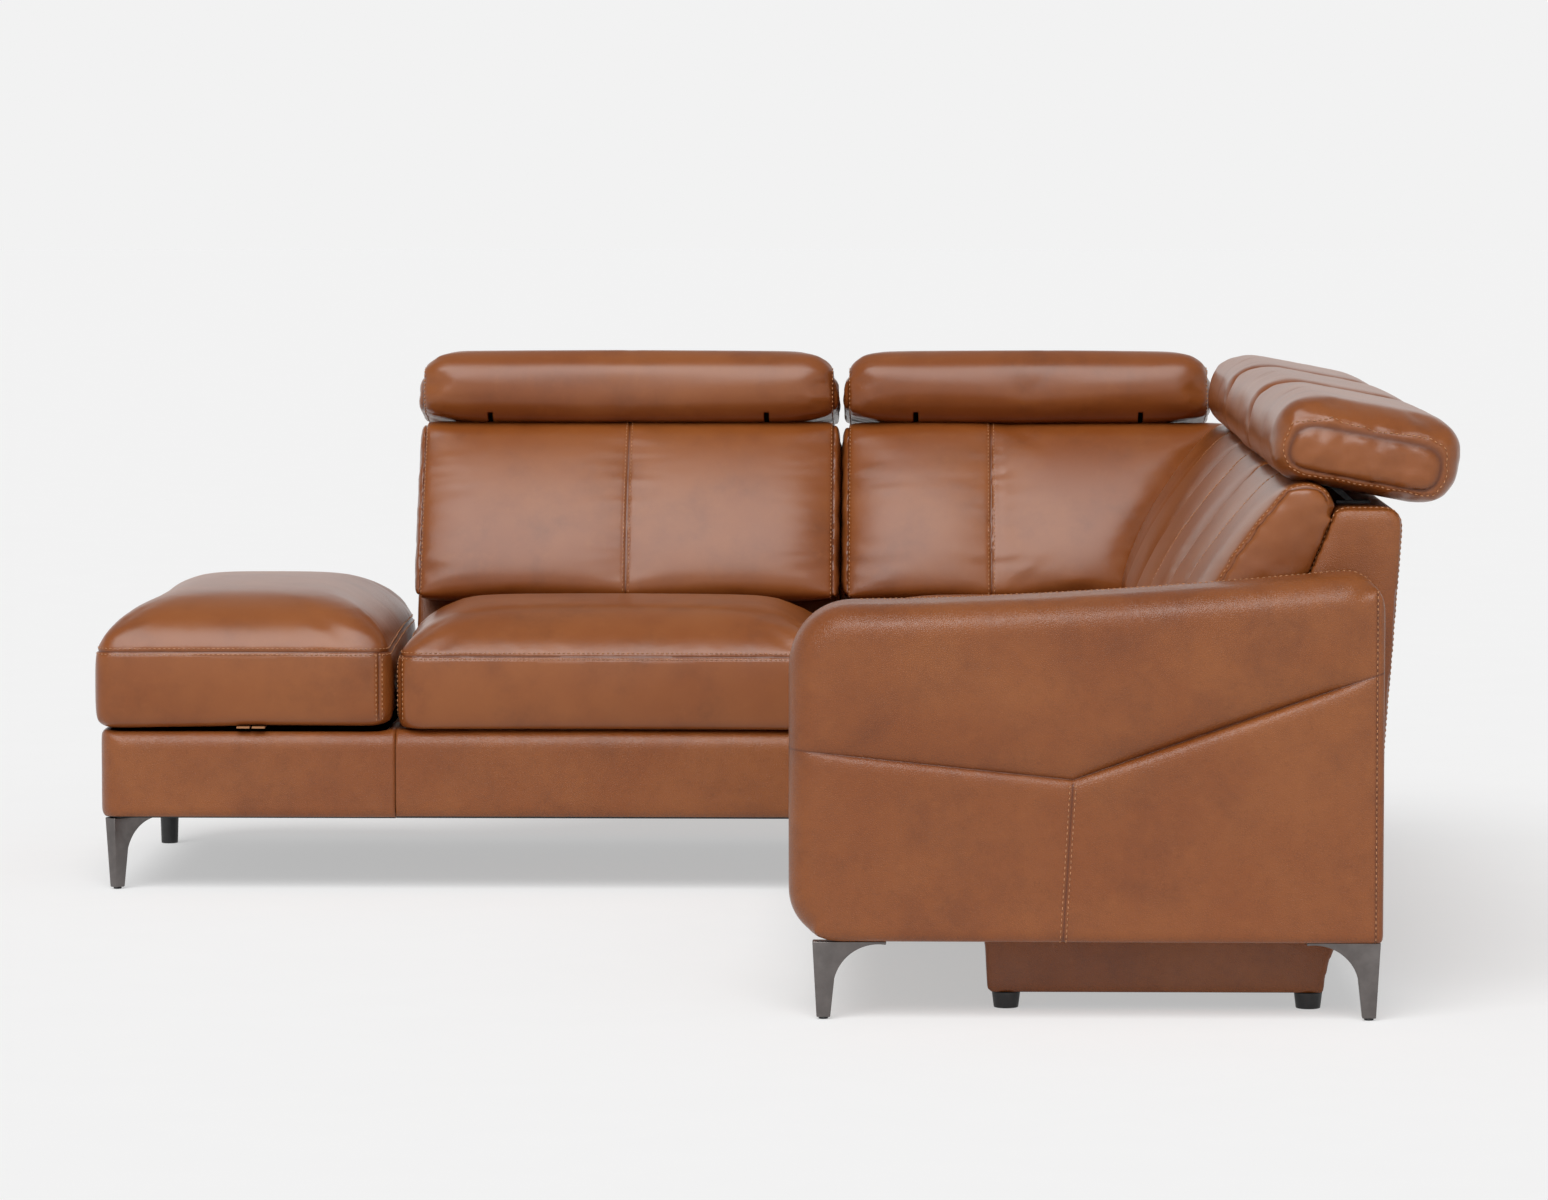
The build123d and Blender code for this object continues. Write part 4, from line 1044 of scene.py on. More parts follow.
@dataclass
class Headrest(Padding):
    """A folding headrest: a rounded bar with sewn end panels, slotted below for its two braces."""

    facing: Facing = Facing.MAIN
    length: float = 0.276
    thickness: float = 0.127
    tilt: float = math.radians(11.5)
    pivot_radius: float = 0.038
    corner_radii: tuple[float, float, float] = (0.042, 0.042, 0.048)
    end_reach: float = 0.052
    end_draw: float = 0.026
    panel_draw: float = 0.036
    end_sink: float = 0.60
    end_seam: float = 0.006
    brace_inset: float = 0.130
    slot_half: float = 0.0048
    slot_reach: float = 0.100
    slot_fan: tuple[float, float] = (-25.0, -130.0)
    slot_steps: int = 6
    slot_apex: float = 0.010
    corner_steps: int = 8
    corner_loss: float = 0.6
    panel_reach: float = 0.35
    panel_share: float = 0.6
    end_steps: int = 9
    end_depth: float = 0.0035
    end_pucker: float = 0.0036
    pucker_reach: float = 0.045

    def __post_init__(self) -> None:
        """Place the seams at both ends."""
        low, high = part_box(self.nodes[0])
        width = self.facing.width
        self.span = (low[width], high[width])
        joint = next(j for j in frame["joints"] if j["child"] == self.nodes[0])
        self.pivot = (joint["pos_m"][self.facing.depth], joint["pos_m"][Z_AXIS])
        ends = ((low[width] + self.end_seam, STITCH_OFFSET), (high[width] - self.end_seam, -STITCH_OFFSET))
        for at, row in ends:
            self.seams.append(seam_across(
                width, at, double=False, row=row, depth=self.end_depth,
                pucker=self.end_pucker, pucker_reach=self.pucker_reach,
            ))

    def section(self, draw: float) -> np.ndarray:
        """Outline of the bar in depth and height, drawn in all round.

        Args:
            draw: how far it is drawn in.

        Returns:
            Points in order, one row each.
        """
        low = draw - self.pivot_radius
        rear = self.length - self.pivot_radius - draw
        high = self.thickness - self.pivot_radius - draw
        sink = self.end_sink * draw
        rear_low, rear_high, front_high = self.corner_radii
        corners = (
            (low, low, self.pivot_radius, 180), (rear, low, rear_low, 270),
            (rear, high, rear_high, 0), (low, high, front_high, 90),
        )
        outline = []
        for along, up, radius, start in corners:
            radius = radius - draw * self.corner_loss
            across = along + radius if along == low else along - radius
            level = up + radius if up == low else up - radius
            for step in range(self.corner_steps + 1):
                turn = math.radians(start + step * 90 / self.corner_steps)
                outline.append((across + radius * math.cos(turn), level + radius * math.sin(turn)))
        flat = np.array(outline) - (0.0, sink)
        cosine, sine = math.cos(self.tilt), math.sin(self.tilt)
        depth = self.pivot[0] + flat[:, 0] * cosine + flat[:, 1] * sine
        height = self.pivot[1] - flat[:, 0] * sine + flat[:, 1] * cosine
        return np.stack([depth, height], axis=1)

    def shape(self) -> Piece:
        """The bar lofted through its sections, with rounded ends."""
        turned = self.end_reach - self.end_seam
        panel_edge = self.panel_share * self.panel_draw + (1 - self.panel_share) * self.end_draw
        draws = [(0.0, self.panel_draw), (self.end_seam * self.panel_reach, panel_edge)]
        for share in np.linspace(0, 1, self.end_steps):
            draw = self.end_draw * (1 - math.sqrt(1 - (1 - share) ** 2))
            draws.append((self.end_seam + turned * share, draw))
        start, stop = self.span
        stations = [(start + at, draw) for at, draw in draws]
        stations += [(stop - at, draw) for at, draw in reversed(draws)]
        return loft([ring_at(self.facing, at, self.section(draw)) for at, draw in stations], self.name)

    def held(self, points: np.ndarray) -> np.ndarray:
        """Nothing but its seams holds a headrest."""
        return np.zeros(len(points), bool)

    def cut(self, piece: Piece) -> None:
        """Cut the two fan-shaped slots for the braces."""
        first, last = self.slot_fan
        fan = [(0.0, self.slot_apex)]
        for step in range(self.slot_steps + 1):
            turn = math.radians(first + (last - first) * step / self.slot_steps)
            fan.append((self.slot_reach * math.cos(turn), self.slot_reach * math.sin(turn)))
        outline = np.array(self.pivot) + np.array(fan)
        for spot in (self.span[0] + self.brace_inset, self.span[1] - self.brace_inset):
            sides = (spot - self.slot_half, spot + self.slot_half)
            cutter = loft([ring_at(self.facing, at, outline) for at in sides], "slot_cutter")
            finish_with(piece, "BOOLEAN", operation="DIFFERENCE", solver="EXACT", object=cutter)
            bpy.data.objects.remove(cutter)


def ring_at(facing: Facing, at: float, outline: np.ndarray) -> np.ndarray:
    """An outline in depth and height, set at one place along the width."""
    ring = np.zeros((len(outline), 3))
    ring[:, facing.width] = at
    ring[:, [facing.depth, Z_AXIS]] = outline
    return ring


def loft(rings: Sequence[np.ndarray], name: str) -> Piece:
    """A closed skin through rings of equal count, capped at both ends, its normals outward."""
    count = len(rings[0])
    faces = []
    for step in range(len(rings) - 1):
        base = step * count
        for i in range(count):
            j = (i + 1) % count
            faces.append((base + i, base + j, base + count + j, base + count + i))
    faces.append(tuple(range(count)))
    faces.append(tuple(range((len(rings) - 1) * count, len(rings) * count)))
    mesh = bpy.data.meshes.new(name)
    mesh.from_pydata(np.concatenate(rings).tolist(), [], faces)
    piece = new_piece(name, mesh)
    edit_all(piece, bpy.ops.mesh.normals_make_consistent, inside=False)
    return piece


def quarter_turn(middle: tuple[float, float], radius: float, start: float) -> list[tuple[float, float]]:
    """Points of a quarter round, clockwise from a starting angle in degrees."""
    turns = [math.radians(start - step * 90 / QUARTER_STEPS) for step in range(QUARTER_STEPS + 1)]
    return [(middle[0] + radius * math.cos(turn), middle[1] + radius * math.sin(turn)) for turn in turns]


def mitre_directions(before: np.ndarray, here: np.ndarray, after: np.ndarray) -> np.ndarray:
    """How each point of a clockwise outline moves when the outline is drawn in by one."""
    entry = (here - before) / np.linalg.norm(here - before, axis=1, keepdims=True)
    leave = (after - here) / np.linalg.norm(after - here, axis=1, keepdims=True)
    entry_side = np.column_stack([entry[:, 1], -entry[:, 0]])
    leave_side = np.column_stack([leave[:, 1], -leave[:, 0]])
    middle = entry_side + leave_side
    return 2 * middle / np.maximum((middle ** 2).sum(axis=1, keepdims=True), MITRE_LIMIT)


@dataclass
class CoveredFrame:
    """A timber frame covered in leather: soft edges, seams near its ends, dark lining in its hollows."""

    node: str
    finishes: Finishes
    facing: Facing
    voxel: float = 0.009
    easing: int = 5
    seams: list[Seam] = field(default_factory=list)
    lined_depth: float = 0.014
    low_square: bool = False
    high_square: bool = False
    top_round: float = 0.0
    foot_round: float = 0.0
    side_round: float = 0.0
    joint_gap: float = 0.0006
    end_band: float = 0.002
    upright: float = 0.7
    underside: float = 0.8
    pucker_seed: float = 3.0

    def lined(self, centres: np.ndarray, normals: np.ndarray) -> np.ndarray:
        """Faces inside the hollows or underneath, which are lined and not covered in leather."""
        low, high = (np.array(corner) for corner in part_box(self.node))
        flat = centres[:, :2]
        inside = ((flat > low[:2] + self.lined_depth) & (flat < high[:2] - self.lined_depth)).all(axis=1)
        sunken = centres[:, Z_AXIS] < high[Z_AXIS] - 2 * self.lined_depth
        in_hollow = inside & (sunken | (np.abs(normals[:, Z_AXIS]) < self.upright))
        return in_hollow | (normals[:, Z_AXIS] < -self.underside)

    def build(self) -> Piece:
        """Build, sew and hand over the piece."""
        piece = copy_of_node(self.node, self.node + "_cover")
        low, high = (np.array(corner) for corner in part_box(self.node))
        self.overrun(piece, low, high)
        remesh(piece, self.voxel, self.easing)
        self.trim(piece, low, high)
        self.soften(piece, low, high)
        carve(piece, self.seams, seed=self.pucker_seed)
        dress(piece, self.finishes.pebble, self.finishes.lining)
        faces = piece.data.polygons
        lined = self.lined(rows_of(faces, "center"), rows_of(faces, "normal"))
        faces.foreach_set("material_index", lined.astype(np.int32))
        hand_over(piece, "leather", self.node)
        sew_on(piece, self.seams, self.node + "_stitches", self.finishes)
        return piece

    def overrun(self, piece: Piece, low: np.ndarray, high: np.ndarray) -> None:
        """Lengthen the ends that meet another frame, so that smoothing rounds only what is trimmed off."""
        width = self.facing.width
        points = points_of(piece)
        if self.low_square:
            points[points[:, width] < low[width] + self.end_band, width] -= OVERRUN
        if self.high_square:
            points[points[:, width] > high[width] - self.end_band, width] += OVERRUN
        set_points(piece, points)

    def trim(self, piece: Piece, low: np.ndarray, high: np.ndarray) -> None:
        """Cut the lengthened ends off square."""
        width = self.facing.width
        cuts = []
        if self.low_square:
            cuts.append((unit(width) * (low[width] + self.joint_gap), -unit(width)))
        if self.high_square:
            cuts.append((unit(width) * (high[width] - self.joint_gap), unit(width)))
        for place, outward in cuts:
            edit_all(
                piece, bpy.ops.mesh.bisect, plane_co=place, plane_no=outward, use_fill=True, clear_outer=True,
            )

    def soften(self, piece: Piece, low: np.ndarray, high: np.ndarray) -> None:
        """Round the front edges as padding does: along the top, along the foot and at the open end."""
        width, depth = self.facing.value
        points = points_of(piece)
        inward = points[:, depth] - low[depth]
        sides = (
            (self.top_round, high[Z_AXIS] - points[:, Z_AXIS], Z_AXIS, -1),
            (self.foot_round, points[:, Z_AXIS] - low[Z_AXIS], Z_AXIS, 1),
            (self.side_round, points[:, width] - low[width], width, 1),
        )
        for radius, beside, axis, way in sides:
            across, along = radius - inward, radius - beside
            reach = np.hypot(across, along)
            outside = (across > 0) & (along > 0) & (reach > radius)
            share = np.where(outside, radius / np.maximum(reach, TINY), 1.0)
            points[:, depth] += np.where(outside, across * (1 - share), 0.0)
            points[:, axis] += np.where(outside, along * (1 - share) * way, 0.0)
            inward = points[:, depth] - low[depth]
        set_points(piece, points)


@dataclass
class BackFrame(CoveredFrame):
    """A back frame: leather all over, a seam down both rear edges."""

    end_seam: float = 0.012
    end_pucker: float = 0.0008

    def __post_init__(self) -> None:
        """Place the seams at the ends."""
        low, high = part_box(self.node)
        width, depth = self.facing.value
        rear = (low[depth] + high[depth]) / 2
        for at in (low[width] + self.end_seam, high[width] - self.end_seam):
            self.seams.append(seam_across(
                width, at, double=False, pucker=self.end_pucker, region=lambda p: p[:, depth] > rear,
            ))

    def lined(self, centres: np.ndarray, normals: np.ndarray) -> np.ndarray:
        """Only the underside is lined."""
        return normals[:, Z_AXIS] < -self.underside


@dataclass
class Arm:
    """The padded arm: a soft slab parted by a V seam into a full top and a swelling lower cover."""

    finishes: Finishes
    front_radius: float = 0.092
    toe_radius: float = 0.074
    heel_radius: float = 0.050
    soft_edge: float = 0.042
    foot_edge: float = 0.014
    crisp_edge: float = 0.005
    inner_edge: float = 0.010
    rise: float = 0.043
    rise_power: float = 1.6
    seam_front: float = 0.394
    seam_point: tuple[float, float] = (0.412, 0.351)
    seam_rear: float = 0.507
    seam_tuck: float = 0.0100
    top_fullness: float = 0.0110
    low_fullness: float = 0.0060
    voxel: float = 0.0058
    easing: int = 4
    pucker_seed: float = 5.0
    rise_steps: int = 30
    edge_band: float = 0.012
    edge_steps: int = 9
    seam_lean: float = 0.014
    lower_seam_gap: float = 0.005
    lower_seam_reach: float = 0.05
    rear_seam_inset: float = 0.0115
    rear_seam_reach: float = 0.02
    ridge_inset: float = 0.022
    ridge_start: float = 0.10
    ridge_height: float = 0.5
    rear_open: tuple[float, float, float] = (0.45, 0.75, 0.8)
    front_open: tuple[float, float] = (0.30, 0.15)
    open_ends: tuple[float, float] = (0.06, 0.10)
    least_open: float = 0.2
    full_ends: tuple[float, float] = (0.12, 0.08)
    foot_reach: float = 0.08
    top_reach: float = 0.055
    top_tuck: float = 1.1
    top_tuck_reach: float = 0.009
    low_reach: float = 0.09
    low_tuck_reach: float = 0.0055

    def __post_init__(self) -> None:
        """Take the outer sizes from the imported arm."""
        upper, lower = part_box("arm_upper_pad"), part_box("arm_lower_cover")
        self.low = np.minimum(upper[0], lower[0])
        self.high = np.maximum(upper[1], lower[1])
        self.v_point = np.array([self.low[X_AXIS] + self.seam_point[0], 0.0, self.seam_point[1]])

    def outline(self) -> np.ndarray:
        """Side view of the arm along X and up, clockwise from its toe."""
        front, rear = self.low[X_AXIS], self.high[X_AXIS]
        bottom, top = self.low[Z_AXIS], self.high[Z_AXIS]
        top_front = top - self.rise
        start, stop = front + self.front_radius, rear - self.heel_radius
        rising = [
            (start + (stop - start) * share, top_front + self.rise * share ** self.rise_power)
            for share in np.linspace(0, 1, self.rise_steps)[1:-1]
        ]
        toe, heel = self.toe_radius, self.heel_radius
        points = quarter_turn((front + toe, bottom + toe), toe, 270)
        points += quarter_turn((start, top_front - self.front_radius), self.front_radius, 180)
        points += rising + quarter_turn((stop, top - heel), heel, 90) + [(rear, bottom)]
        return np.array(points)

    def edge_radii(self, outline: np.ndarray) -> np.ndarray:
        """How round the outer edge is at each point of the outline."""
        behind = outline[:, 0] > self.high[X_AXIS] - self.edge_band
        below = outline[:, 1] < self.low[Z_AXIS] + self.edge_band
        return np.where(behind, self.crisp_edge, np.where(below, self.foot_edge, self.soft_edge))

    def slab(self) -> Piece:
        """The arm as a skin through outlines drawn in towards its two faces."""
        outline = self.outline()
        before, after = np.roll(outline, 1, axis=0), np.roll(outline, -1, axis=0)
        inward = mitre_directions(before, outline, after)
        outer = self.edge_radii(outline)
        inner = np.full(len(outline), self.inner_edge)
        rings = []
        for radii, face, side in ((outer, self.low[Y_AXIS], 1), (inner, self.high[Y_AXIS], -1)):
            skin = []
            for step in range(self.edge_steps + 1):
                turn = math.radians(90 - 90 * step / self.edge_steps)
                drawn = outline + inward * (radii * (1 - math.cos(turn)))[:, None]
                across = face + side * radii * (1 - math.sin(turn))
                skin.append(np.column_stack([drawn[:, 0], across, drawn[:, 1]]))
            rings += skin if side > 0 else skin[::-1]
        return loft(rings, "arm_cover")

    def seam_lines(self) -> tuple[Seam, Seam]:
        """The two straight runs of the V seam, front and rear."""
        point = self.v_point
        ends = (
            np.array([self.low[X_AXIS], 0.0, self.seam_front]),
            np.array([self.high[X_AXIS], 0.0, self.seam_rear]),
        )
        seams = []
        for end, side in zip(ends, (-1, 1)):
            run = (end - point) / np.linalg.norm(end - point)
            normal = np.array([-run[2], 0.0, run[0]]) * side
            seams.append(Seam(
                place=point, normal=normal, depth=0.0, row_depth=0.0, pucker=0.0, double=False, row=0.006,
                region=(lambda p, s=side: (p[:, 0] - point[0]) * s >= 0),
                cuts=(-0.009, -0.005, -0.0025, -0.001, 0.0, 0.001, 0.0025, 0.005, 0.009),
            ))
        return seams[0], seams[1]

    def lower_seam(self) -> Seam:
        """The stitched seam that runs down the lower cover from the V's point."""
        lean = self.seam_lean / (self.seam_point[1] - self.low[Z_AXIS])
        normal = np.array([1.0, 0.0, -lean])
        outer = self.low[Y_AXIS] + self.lower_seam_reach
        end = self.seam_point[1] - self.lower_seam_gap
        return Seam(
            place=self.v_point, normal=normal / np.linalg.norm(normal),
            depth=0.0012, groove=0.0014, row=0.0042, pucker=0.0004,
            region=lambda p: (p[:, Z_AXIS] < end) & (p[:, Y_AXIS] < outer),
        )

    def rear_seam(self) -> Seam:
        """The stitched seam close to the rear edge of the outer face."""
        outer = self.low[Y_AXIS] + self.rear_seam_reach
        end = self.high[Z_AXIS] - self.rear_seam_reach
        return seam_across(
            X_AXIS, self.high[X_AXIS] - self.rear_seam_inset, double=False,
            depth=0.0006, groove=0.0012, row=0.0, pucker=0.0002,
            region=lambda p: (p[:, Y_AXIS] < outer) & (p[:, Z_AXIS] < end),
        )

    def ridge_seam(self) -> Seam:
        """The stitched seam along the top, close to its inner edge."""
        start = self.low[X_AXIS] + self.ridge_start
        return seam_across(
            Y_AXIS, self.high[Y_AXIS] - self.ridge_inset, double=False,
            depth=0.0010, groove=0.0016, row=0.003, pucker=0.0003,
            region=lambda p: (p[:, X_AXIS] > start) & (p[:, Z_AXIS] > self.ridge_height),
        )

    def part_at_seam(self, piece: Piece, seams: Sequence[Seam]) -> None:
        """Swell the panels above and below the V seam and tuck both into it, most along its rear run."""
        points, normals = points_of(piece), normals_of(piece)
        above = np.maximum(*[np.where(seam.region(points), seam.distance(points), -np.inf) for seam in seams])
        outer = np.clip(-normals[:, Y_AXIS], 0, 1) ** 2
        length = self.high[X_AXIS] - self.low[X_AXIS]
        share = (points[:, X_AXIS] - self.low[X_AXIS]) / length
        point = self.seam_point[0] / length
        least, more, power = self.rear_open
        rear_gap = least + more * np.sin(np.pi * ramp(share - point, 1 - point) ** power)
        front_gap = self.front_open[0] + self.front_open[1] * share / point
        gap = np.where(share > point, rear_gap, front_gap) * ramp(1 - share, self.open_ends[1])
        gap *= np.clip(share / self.open_ends[0], self.least_open, 1)
        ends = eased(ramp(share, self.full_ends[0]) * ramp(1 - share, self.full_ends[1]))
        foot = ramp(points[:, Z_AXIS] - self.low[Z_AXIS], self.foot_reach)
        up, down = np.clip(above, 0, None), np.clip(-above, 0, None)
        top = self.top_fullness * ends * (1 - np.exp(-up / self.top_reach))
        top -= self.top_tuck * self.seam_tuck * gap * np.exp(-up / self.top_tuck_reach)
        low = self.low_fullness * ends * foot * np.exp(-down / self.low_reach)
        low -= (self.seam_tuck * gap + self.low_fullness * ends) * np.exp(-down / self.low_tuck_reach)
        points[:, Y_AXIS] -= np.where(above >= 0, top, low) * outer
        set_points(piece, points)

    def build(self) -> Piece:
        """Build, sew and hand over the arm."""
        piece = self.slab()
        remesh(piece, self.voxel, self.easing)
        fill_box(piece, self.low, self.high)
        v_seams = self.seam_lines()
        sewn = [self.lower_seam(), self.rear_seam(), self.ridge_seam()]
        carve(piece, [*v_seams, *sewn], seed=self.pucker_seed)
        self.part_at_seam(piece, v_seams)
        dress(piece, self.finishes.pebble)
        hand_over(piece, "leather", "arm_upper_pad", "arm_lower_cover")
        sew_on(piece, sewn, "arm_stitches", self.finishes)
        return piece


@dataclass
class CrispPart:
    """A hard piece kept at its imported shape, with its sharp edges broken."""

    node: str
    material: bpy.types.Material
    slot: str
    bevel: float = 0.0012
    bevel_steps: int = 3
    flat_angle: float = math.radians(1.0)
    sharp_angle: float = math.radians(35)
    smooth_angle: float = math.radians(40)

    def build(self) -> Piece:
        """Build and hand over the piece."""
        piece = copy_of_node(self.node, self.node + "_part")
        edit_all(piece, bpy.ops.mesh.dissolve_limited, angle_limit=self.flat_angle)
        finish_with(piece, "BEVEL", width=self.bevel, segments=self.bevel_steps, limit_method="ANGLE",
                    angle_limit=self.sharp_angle)
        dress(piece, self.material)
        select_only(piece)
        bpy.ops.object.shade_smooth_by_angle(angle=self.smooth_angle)
        hand_over(piece, self.slot, self.node)
        return piece


@dataclass
class Studio:
    """Pale floor, soft light and the photograph's camera."""

    camera_place: tuple[float, float, float] = (0.305, -10.2986, 1.2393)
    pitch: float = math.radians(-3.986)
    yaw: float = math.radians(1.318)
    focal_pixels: float = 6265.9
    image_width: int = 1548
    sensor: float = 36.0
    backdrop: float = 0.888
    floor_colour: Colour = (0.86, 0.86, 0.86)
    floor_glow: float = 1.05
    floor_share: float = 0.44
    floor_size: float = 160.0
    floor_level: float = -0.0006
    floor_mottle: Mottle = Mottle(6.0, 3.0)
    floor_paler: float = 1.01
    floor_roughness: float = 0.9
    farthest: float = 200.0
    ceiling: float = 0.34
    wall_top: tuple[float, float] = (0.22, 0.55)
    sky: float = 0.24
    lamps: tuple[tuple[str, float, float, tuple[float, float, float]], ...] = (
        ("key", 2.35, 46.0, (36.0, -12.0, 0.0)),
        ("front", 0.30, 70.0, (80.0, -30.0, 0.0)),
        ("fill", 0.20, 60.0, (50.0, 38.0, 0.0)),
    )

    def build(self) -> None:
        """Build the stage."""
        self.place_camera()
        self.lay_floor()
        self.light()

    def place_camera(self) -> None:
        """Set the camera at the photograph's place and angle."""
        data = bpy.data.cameras.new("photo_camera")
        data.sensor_width = self.sensor
        data.lens = self.sensor * self.focal_pixels / self.image_width
        data.clip_end = self.farthest
        camera = bpy.data.objects.new("photo_camera", data)
        camera.location = self.camera_place
        camera.rotation_euler = (math.pi / 2 + self.pitch, 0.0, self.yaw)
        bpy.context.scene.collection.objects.link(camera)
        bpy.context.scene.camera = camera

    def lay_floor(self) -> None:
        """A wide pale floor that takes the sofa's shadow."""
        bpy.ops.object.select_all(action="DESELECT")
        bpy.ops.mesh.primitive_plane_add(size=self.floor_size, location=(0, 0, self.floor_level))
        floor = bpy.context.object
        floor.name = "floor"
        recipe = Recipe("floor")
        paler = tuple(min(part * self.floor_paler, 1.0) for part in self.floor_colour)
        colour = recipe.blend(recipe.layer(self.floor_mottle), self.floor_colour, paler)
        material = recipe.shade(Base_Color=colour, Roughness=self.floor_roughness, Specular_IOR_Level=0.0)
        glow = recipe.nodes.new("ShaderNodeEmission")
        glow.inputs["Strength"].default_value = self.floor_glow
        share = recipe.multiply(seen_directly(recipe.nodes, recipe.links), self.floor_share)
        mix = recipe.nodes.new("ShaderNodeMixShader")
        recipe.links.new(share, mix.inputs[0])
        recipe.links.new(recipe.shader.outputs[0], mix.inputs[1])
        recipe.links.new(glow.outputs[0], mix.inputs[2])
        recipe.links.new(mix.outputs[0], recipe.nodes["Material Output"].inputs["Surface"])
        floor.data.materials.append(material)

    def light(self) -> None:
        """An even sky, a strong broad lamp and two weak ones."""
        world = bpy.data.worlds.new("studio")
        bpy.context.scene.world = world
        world.use_nodes = True
        nodes, links = world.node_tree.nodes, world.node_tree.links
        nodes.clear()
        sky = nodes.new("ShaderNodeBackground")
        sky.inputs["Strength"].default_value = self.sky
        wall = nodes.new("ShaderNodeBackground")
        links.new(self.wall_level(nodes, links), wall.inputs["Strength"])
        for background in (sky, wall):
            background.inputs["Color"].default_value = (1.0, 1.0, 1.0, 1.0)
        mix = nodes.new("ShaderNodeMixShader")
        output = nodes.new("ShaderNodeOutputWorld")
        links.new(seen_directly(nodes, links), mix.inputs[0])
        links.new(sky.outputs[0], mix.inputs[1])
        links.new(wall.outputs[0], mix.inputs[2])
        links.new(mix.outputs[0], output.inputs["Surface"])
        for name, strength, spread, turn in self.lamps:
            data = bpy.data.lights.new(name, "SUN")
            data.energy = strength
            data.angle = math.radians(spread)
            lamp = bpy.data.objects.new(name, data)
            lamp.rotation_euler = tuple(math.radians(part) for part in turn)
            bpy.context.scene.collection.objects.link(lamp)

    def wall_level(self, nodes: bpy.types.Nodes, links: bpy.types.NodeLinks) -> Socket:
        """How bright the backdrop is: even to the camera, and in reflections darker towards the ceiling."""
        rise = nodes.new("ShaderNodeSeparateXYZ")
        links.new(nodes.new("ShaderNodeTexCoord").outputs["Generated"], rise.inputs[0])
        fall = nodes.new("ShaderNodeMapRange")
        fall.interpolation_type = "SMOOTHSTEP"
        links.new(rise.outputs["Z"], fall.inputs[0])
        for socket, value in zip(list(fall.inputs)[1:5], (*self.wall_top, self.backdrop, self.ceiling)):
            socket.default_value = value
        path = nodes.new("ShaderNodeLightPath")
        level = nodes.new("ShaderNodeMix")
        links.new(path.outputs["Is Camera Ray"], level.inputs[0])
        links.new(fall.outputs[0], level.inputs[2])
        level.inputs[3].default_value = self.backdrop
        return level.outputs[0]


def seen_directly(nodes: bpy.types.Nodes, links: bpy.types.NodeLinks) -> Socket:
    """One where a surface is seen by the camera, in a reflection or through glass, and otherwise none."""
    path = nodes.new("ShaderNodeLightPath")
    share = path.outputs["Is Camera Ray"]
    for name in ("Is Glossy Ray", "Is Transmission Ray"):
        larger = nodes.new("ShaderNodeMath")
        larger.operation = "MAXIMUM"
        links.new(share, larger.inputs[0])
        links.new(path.outputs[name], larger.inputs[1])
        share = larger.outputs[0]
    return share


def cushions(finishes: Finishes) -> list[Padding]:
    """Every stuffed piece but the arm, in the order they are made."""
    main, back = Facing.MAIN, Facing.RETURN
    pieces: list[Padding] = []
    for seat, facing in (("recliner", main), ("middle", main), ("corner", back), ("return", back)):
        pieces.append(SeatCushion(seat + "_seat", (seat + "_seat_cushion",), finishes, facing=facing))
    pieces.append(SeatCushion(
        "lid_pad", ("lid_cushion",), finishes, facing=back, seam_height=0.409, rear_margin=-0.1,
        settle=0.0, low_corner=False, droop=0.0045,
    ))
    pieces.append(FootrestPad(
        "footrest_cover", ("footrest_pad",), finishes, voxel=0.009, cap=0.006, slack=(0.003, 0.003, 0.003),
    ))
    for name, facing, low_end, high_end, share in (
        ("recliner", main, True, True, 0.5), ("middle", main, True, True, 0.5),
        ("corner_side", main, True, False, 0.5), ("corner_rear", back, True, False, 0.36),
        ("return", back, True, True, 0.5),
    ):
        pieces.append(BackCushion(
            name + "_back", (name + "_back_cushion",), finishes, facing=facing,
            frame_node=name + "_back_frame", seam_share=share, low_end=low_end, high_end=high_end,
        ))
        pieces.append(Headrest(
            name + "_head", (name + "_headrest",), finishes, facing=facing,
            voxel=0.011, slack=(0.005, 0.005, 0.005), cap=0.007, fill=0.85,
        ))
    return pieces


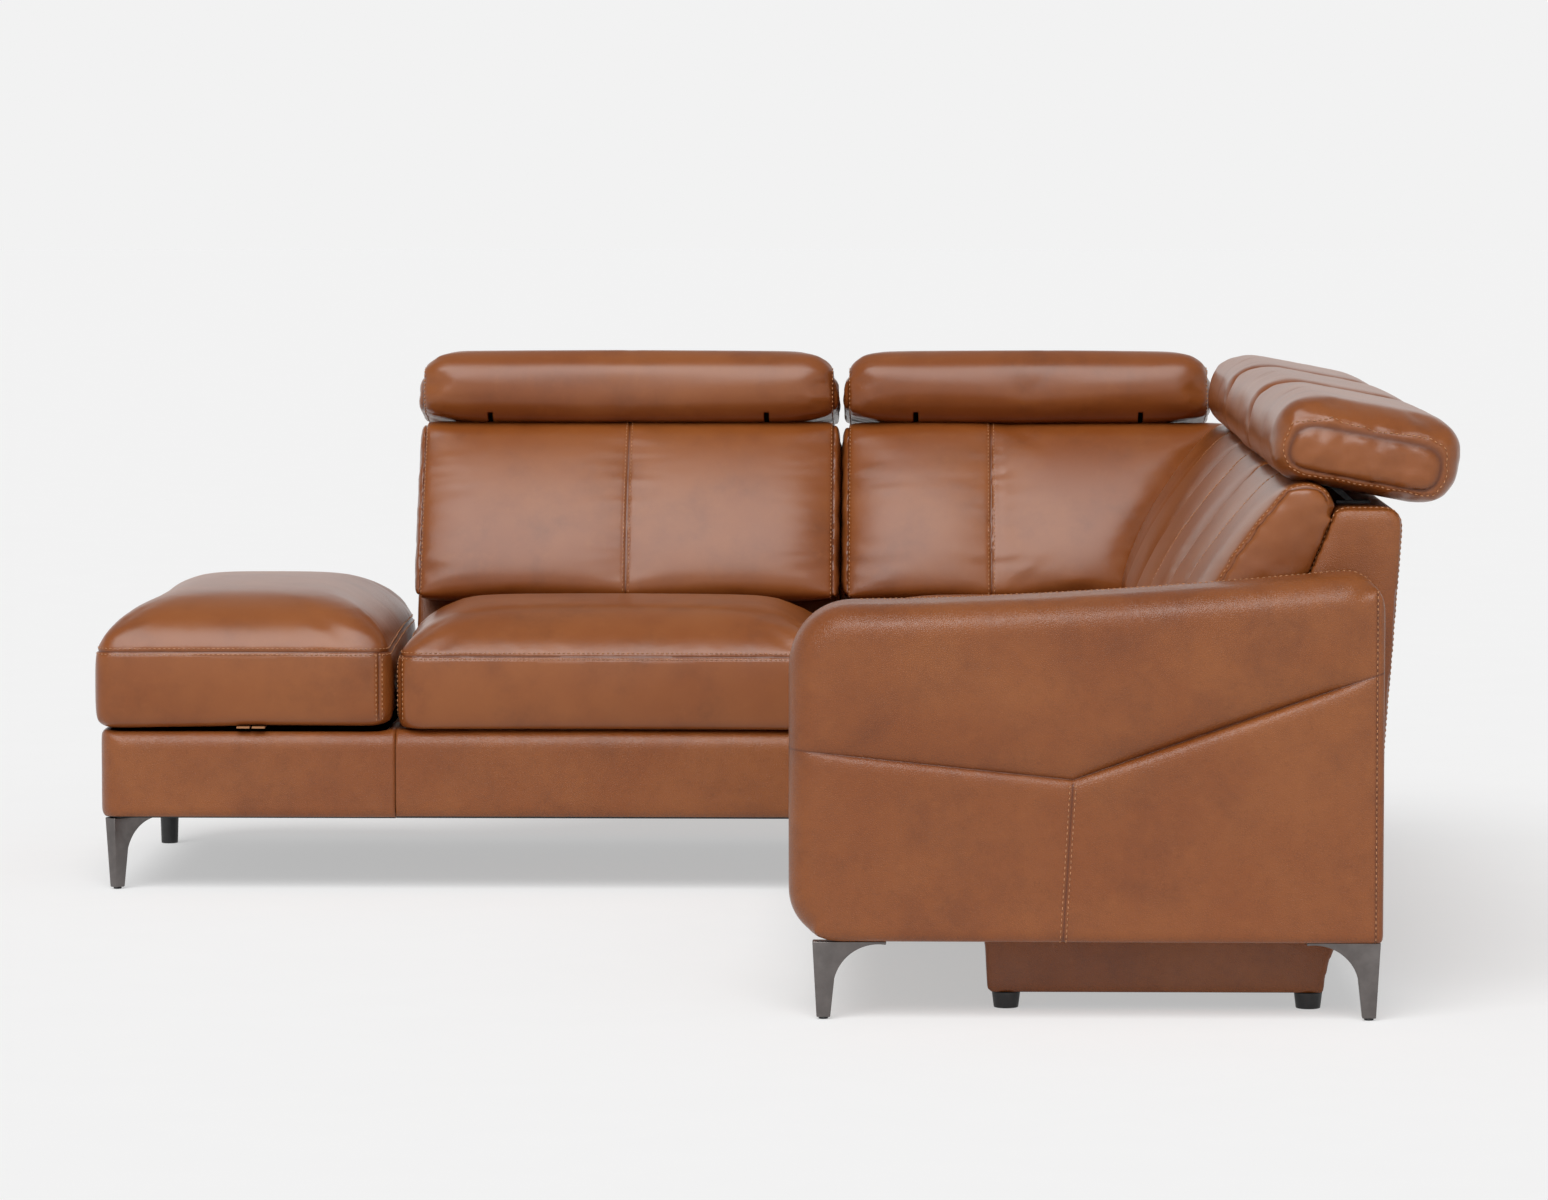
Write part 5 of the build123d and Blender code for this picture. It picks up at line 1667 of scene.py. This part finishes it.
def covered_frames(finishes: Finishes) -> list[CoveredFrame]:
    """Every leather-covered frame."""
    main, back = Facing.MAIN, Facing.RETURN
    frames: list[CoveredFrame] = []
    for name, facing in (
        ("recliner", main), ("middle", main), ("corner_side", main), ("corner_rear", back), ("return", back),
    ):
        fineness = {"voxel": 0.006, "easing": 9} if name.startswith("corner") else {}
        frames.append(BackFrame(name + "_back_frame", finishes, facing, **fineness))
    soft = {"top_round": 0.030, "foot_round": 0.016}
    frames += [
        CoveredFrame("middle_base", finishes, main, voxel=0.008, **soft),
        CoveredFrame("corner_base", finishes, back, voxel=0.008, low_square=True, **soft),
        CoveredFrame("return_base", finishes, back, voxel=0.008, low_square=True, high_square=True, **soft),
        CoveredFrame("storage_box", finishes, back, voxel=0.007, high_square=True, side_round=0.022, **soft),
        CoveredFrame("recliner_rear_panel", finishes, main, voxel=0.006),
        CoveredFrame("mechanism_skirts", finishes, main, voxel=0.006),
    ]
    return frames


def hard_parts(finishes: Finishes) -> list[CrispPart]:
    """Legs, feet and the switch, with broken edges."""
    parts = [CrispPart(node, finishes.gunmetal, "gunmetal", bevel=0.0018)
             for node in ("front_arm_leg", "rear_arm_leg", "ottoman_leg")]
    parts += [CrispPart(node, finishes.plastic, "black_plastic")
              for node in ("support_legs", "recliner_feet", "leg_glides", "switch_plate")]
    parts += [CrispPart(node, finishes.button, "button", bevel=0.0020)
              for node in ("recline_button", "return_button")]
    return parts


def finish_kept_nodes(finishes: Finishes) -> None:
    """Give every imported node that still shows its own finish."""
    slots = {part["node"]: part["material_slot"] for part in frame["record"]["subparts"]}
    for node, piece in frame["nodes"].items():
        if piece.hide_render:
            continue
        material = finishes.for_slot(slots[node])
        piece.data.materials.clear()
        piece.data.materials.append(material)
        LOG.info("%s: kept, finished as %s", node, material.name)


def write_sizes() -> None:
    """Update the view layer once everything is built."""
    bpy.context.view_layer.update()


def main() -> None:
    """Build the sofa's looks in order."""
    logging.basicConfig(level=logging.INFO, format="%(message)s")
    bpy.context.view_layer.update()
    bpy.context.scene.view_settings.view_transform = "Standard"
    finishes = Finishes()
    Arm(finishes).build()
    for cushion in cushions(finishes):
        cushion.build()
    for covered in covered_frames(finishes):
        covered.build()
    for part in hard_parts(finishes):
        part.build()
    finish_kept_nodes(finishes)
    Studio().build()
    write_sizes()


if __name__ == "__main__":
    main()
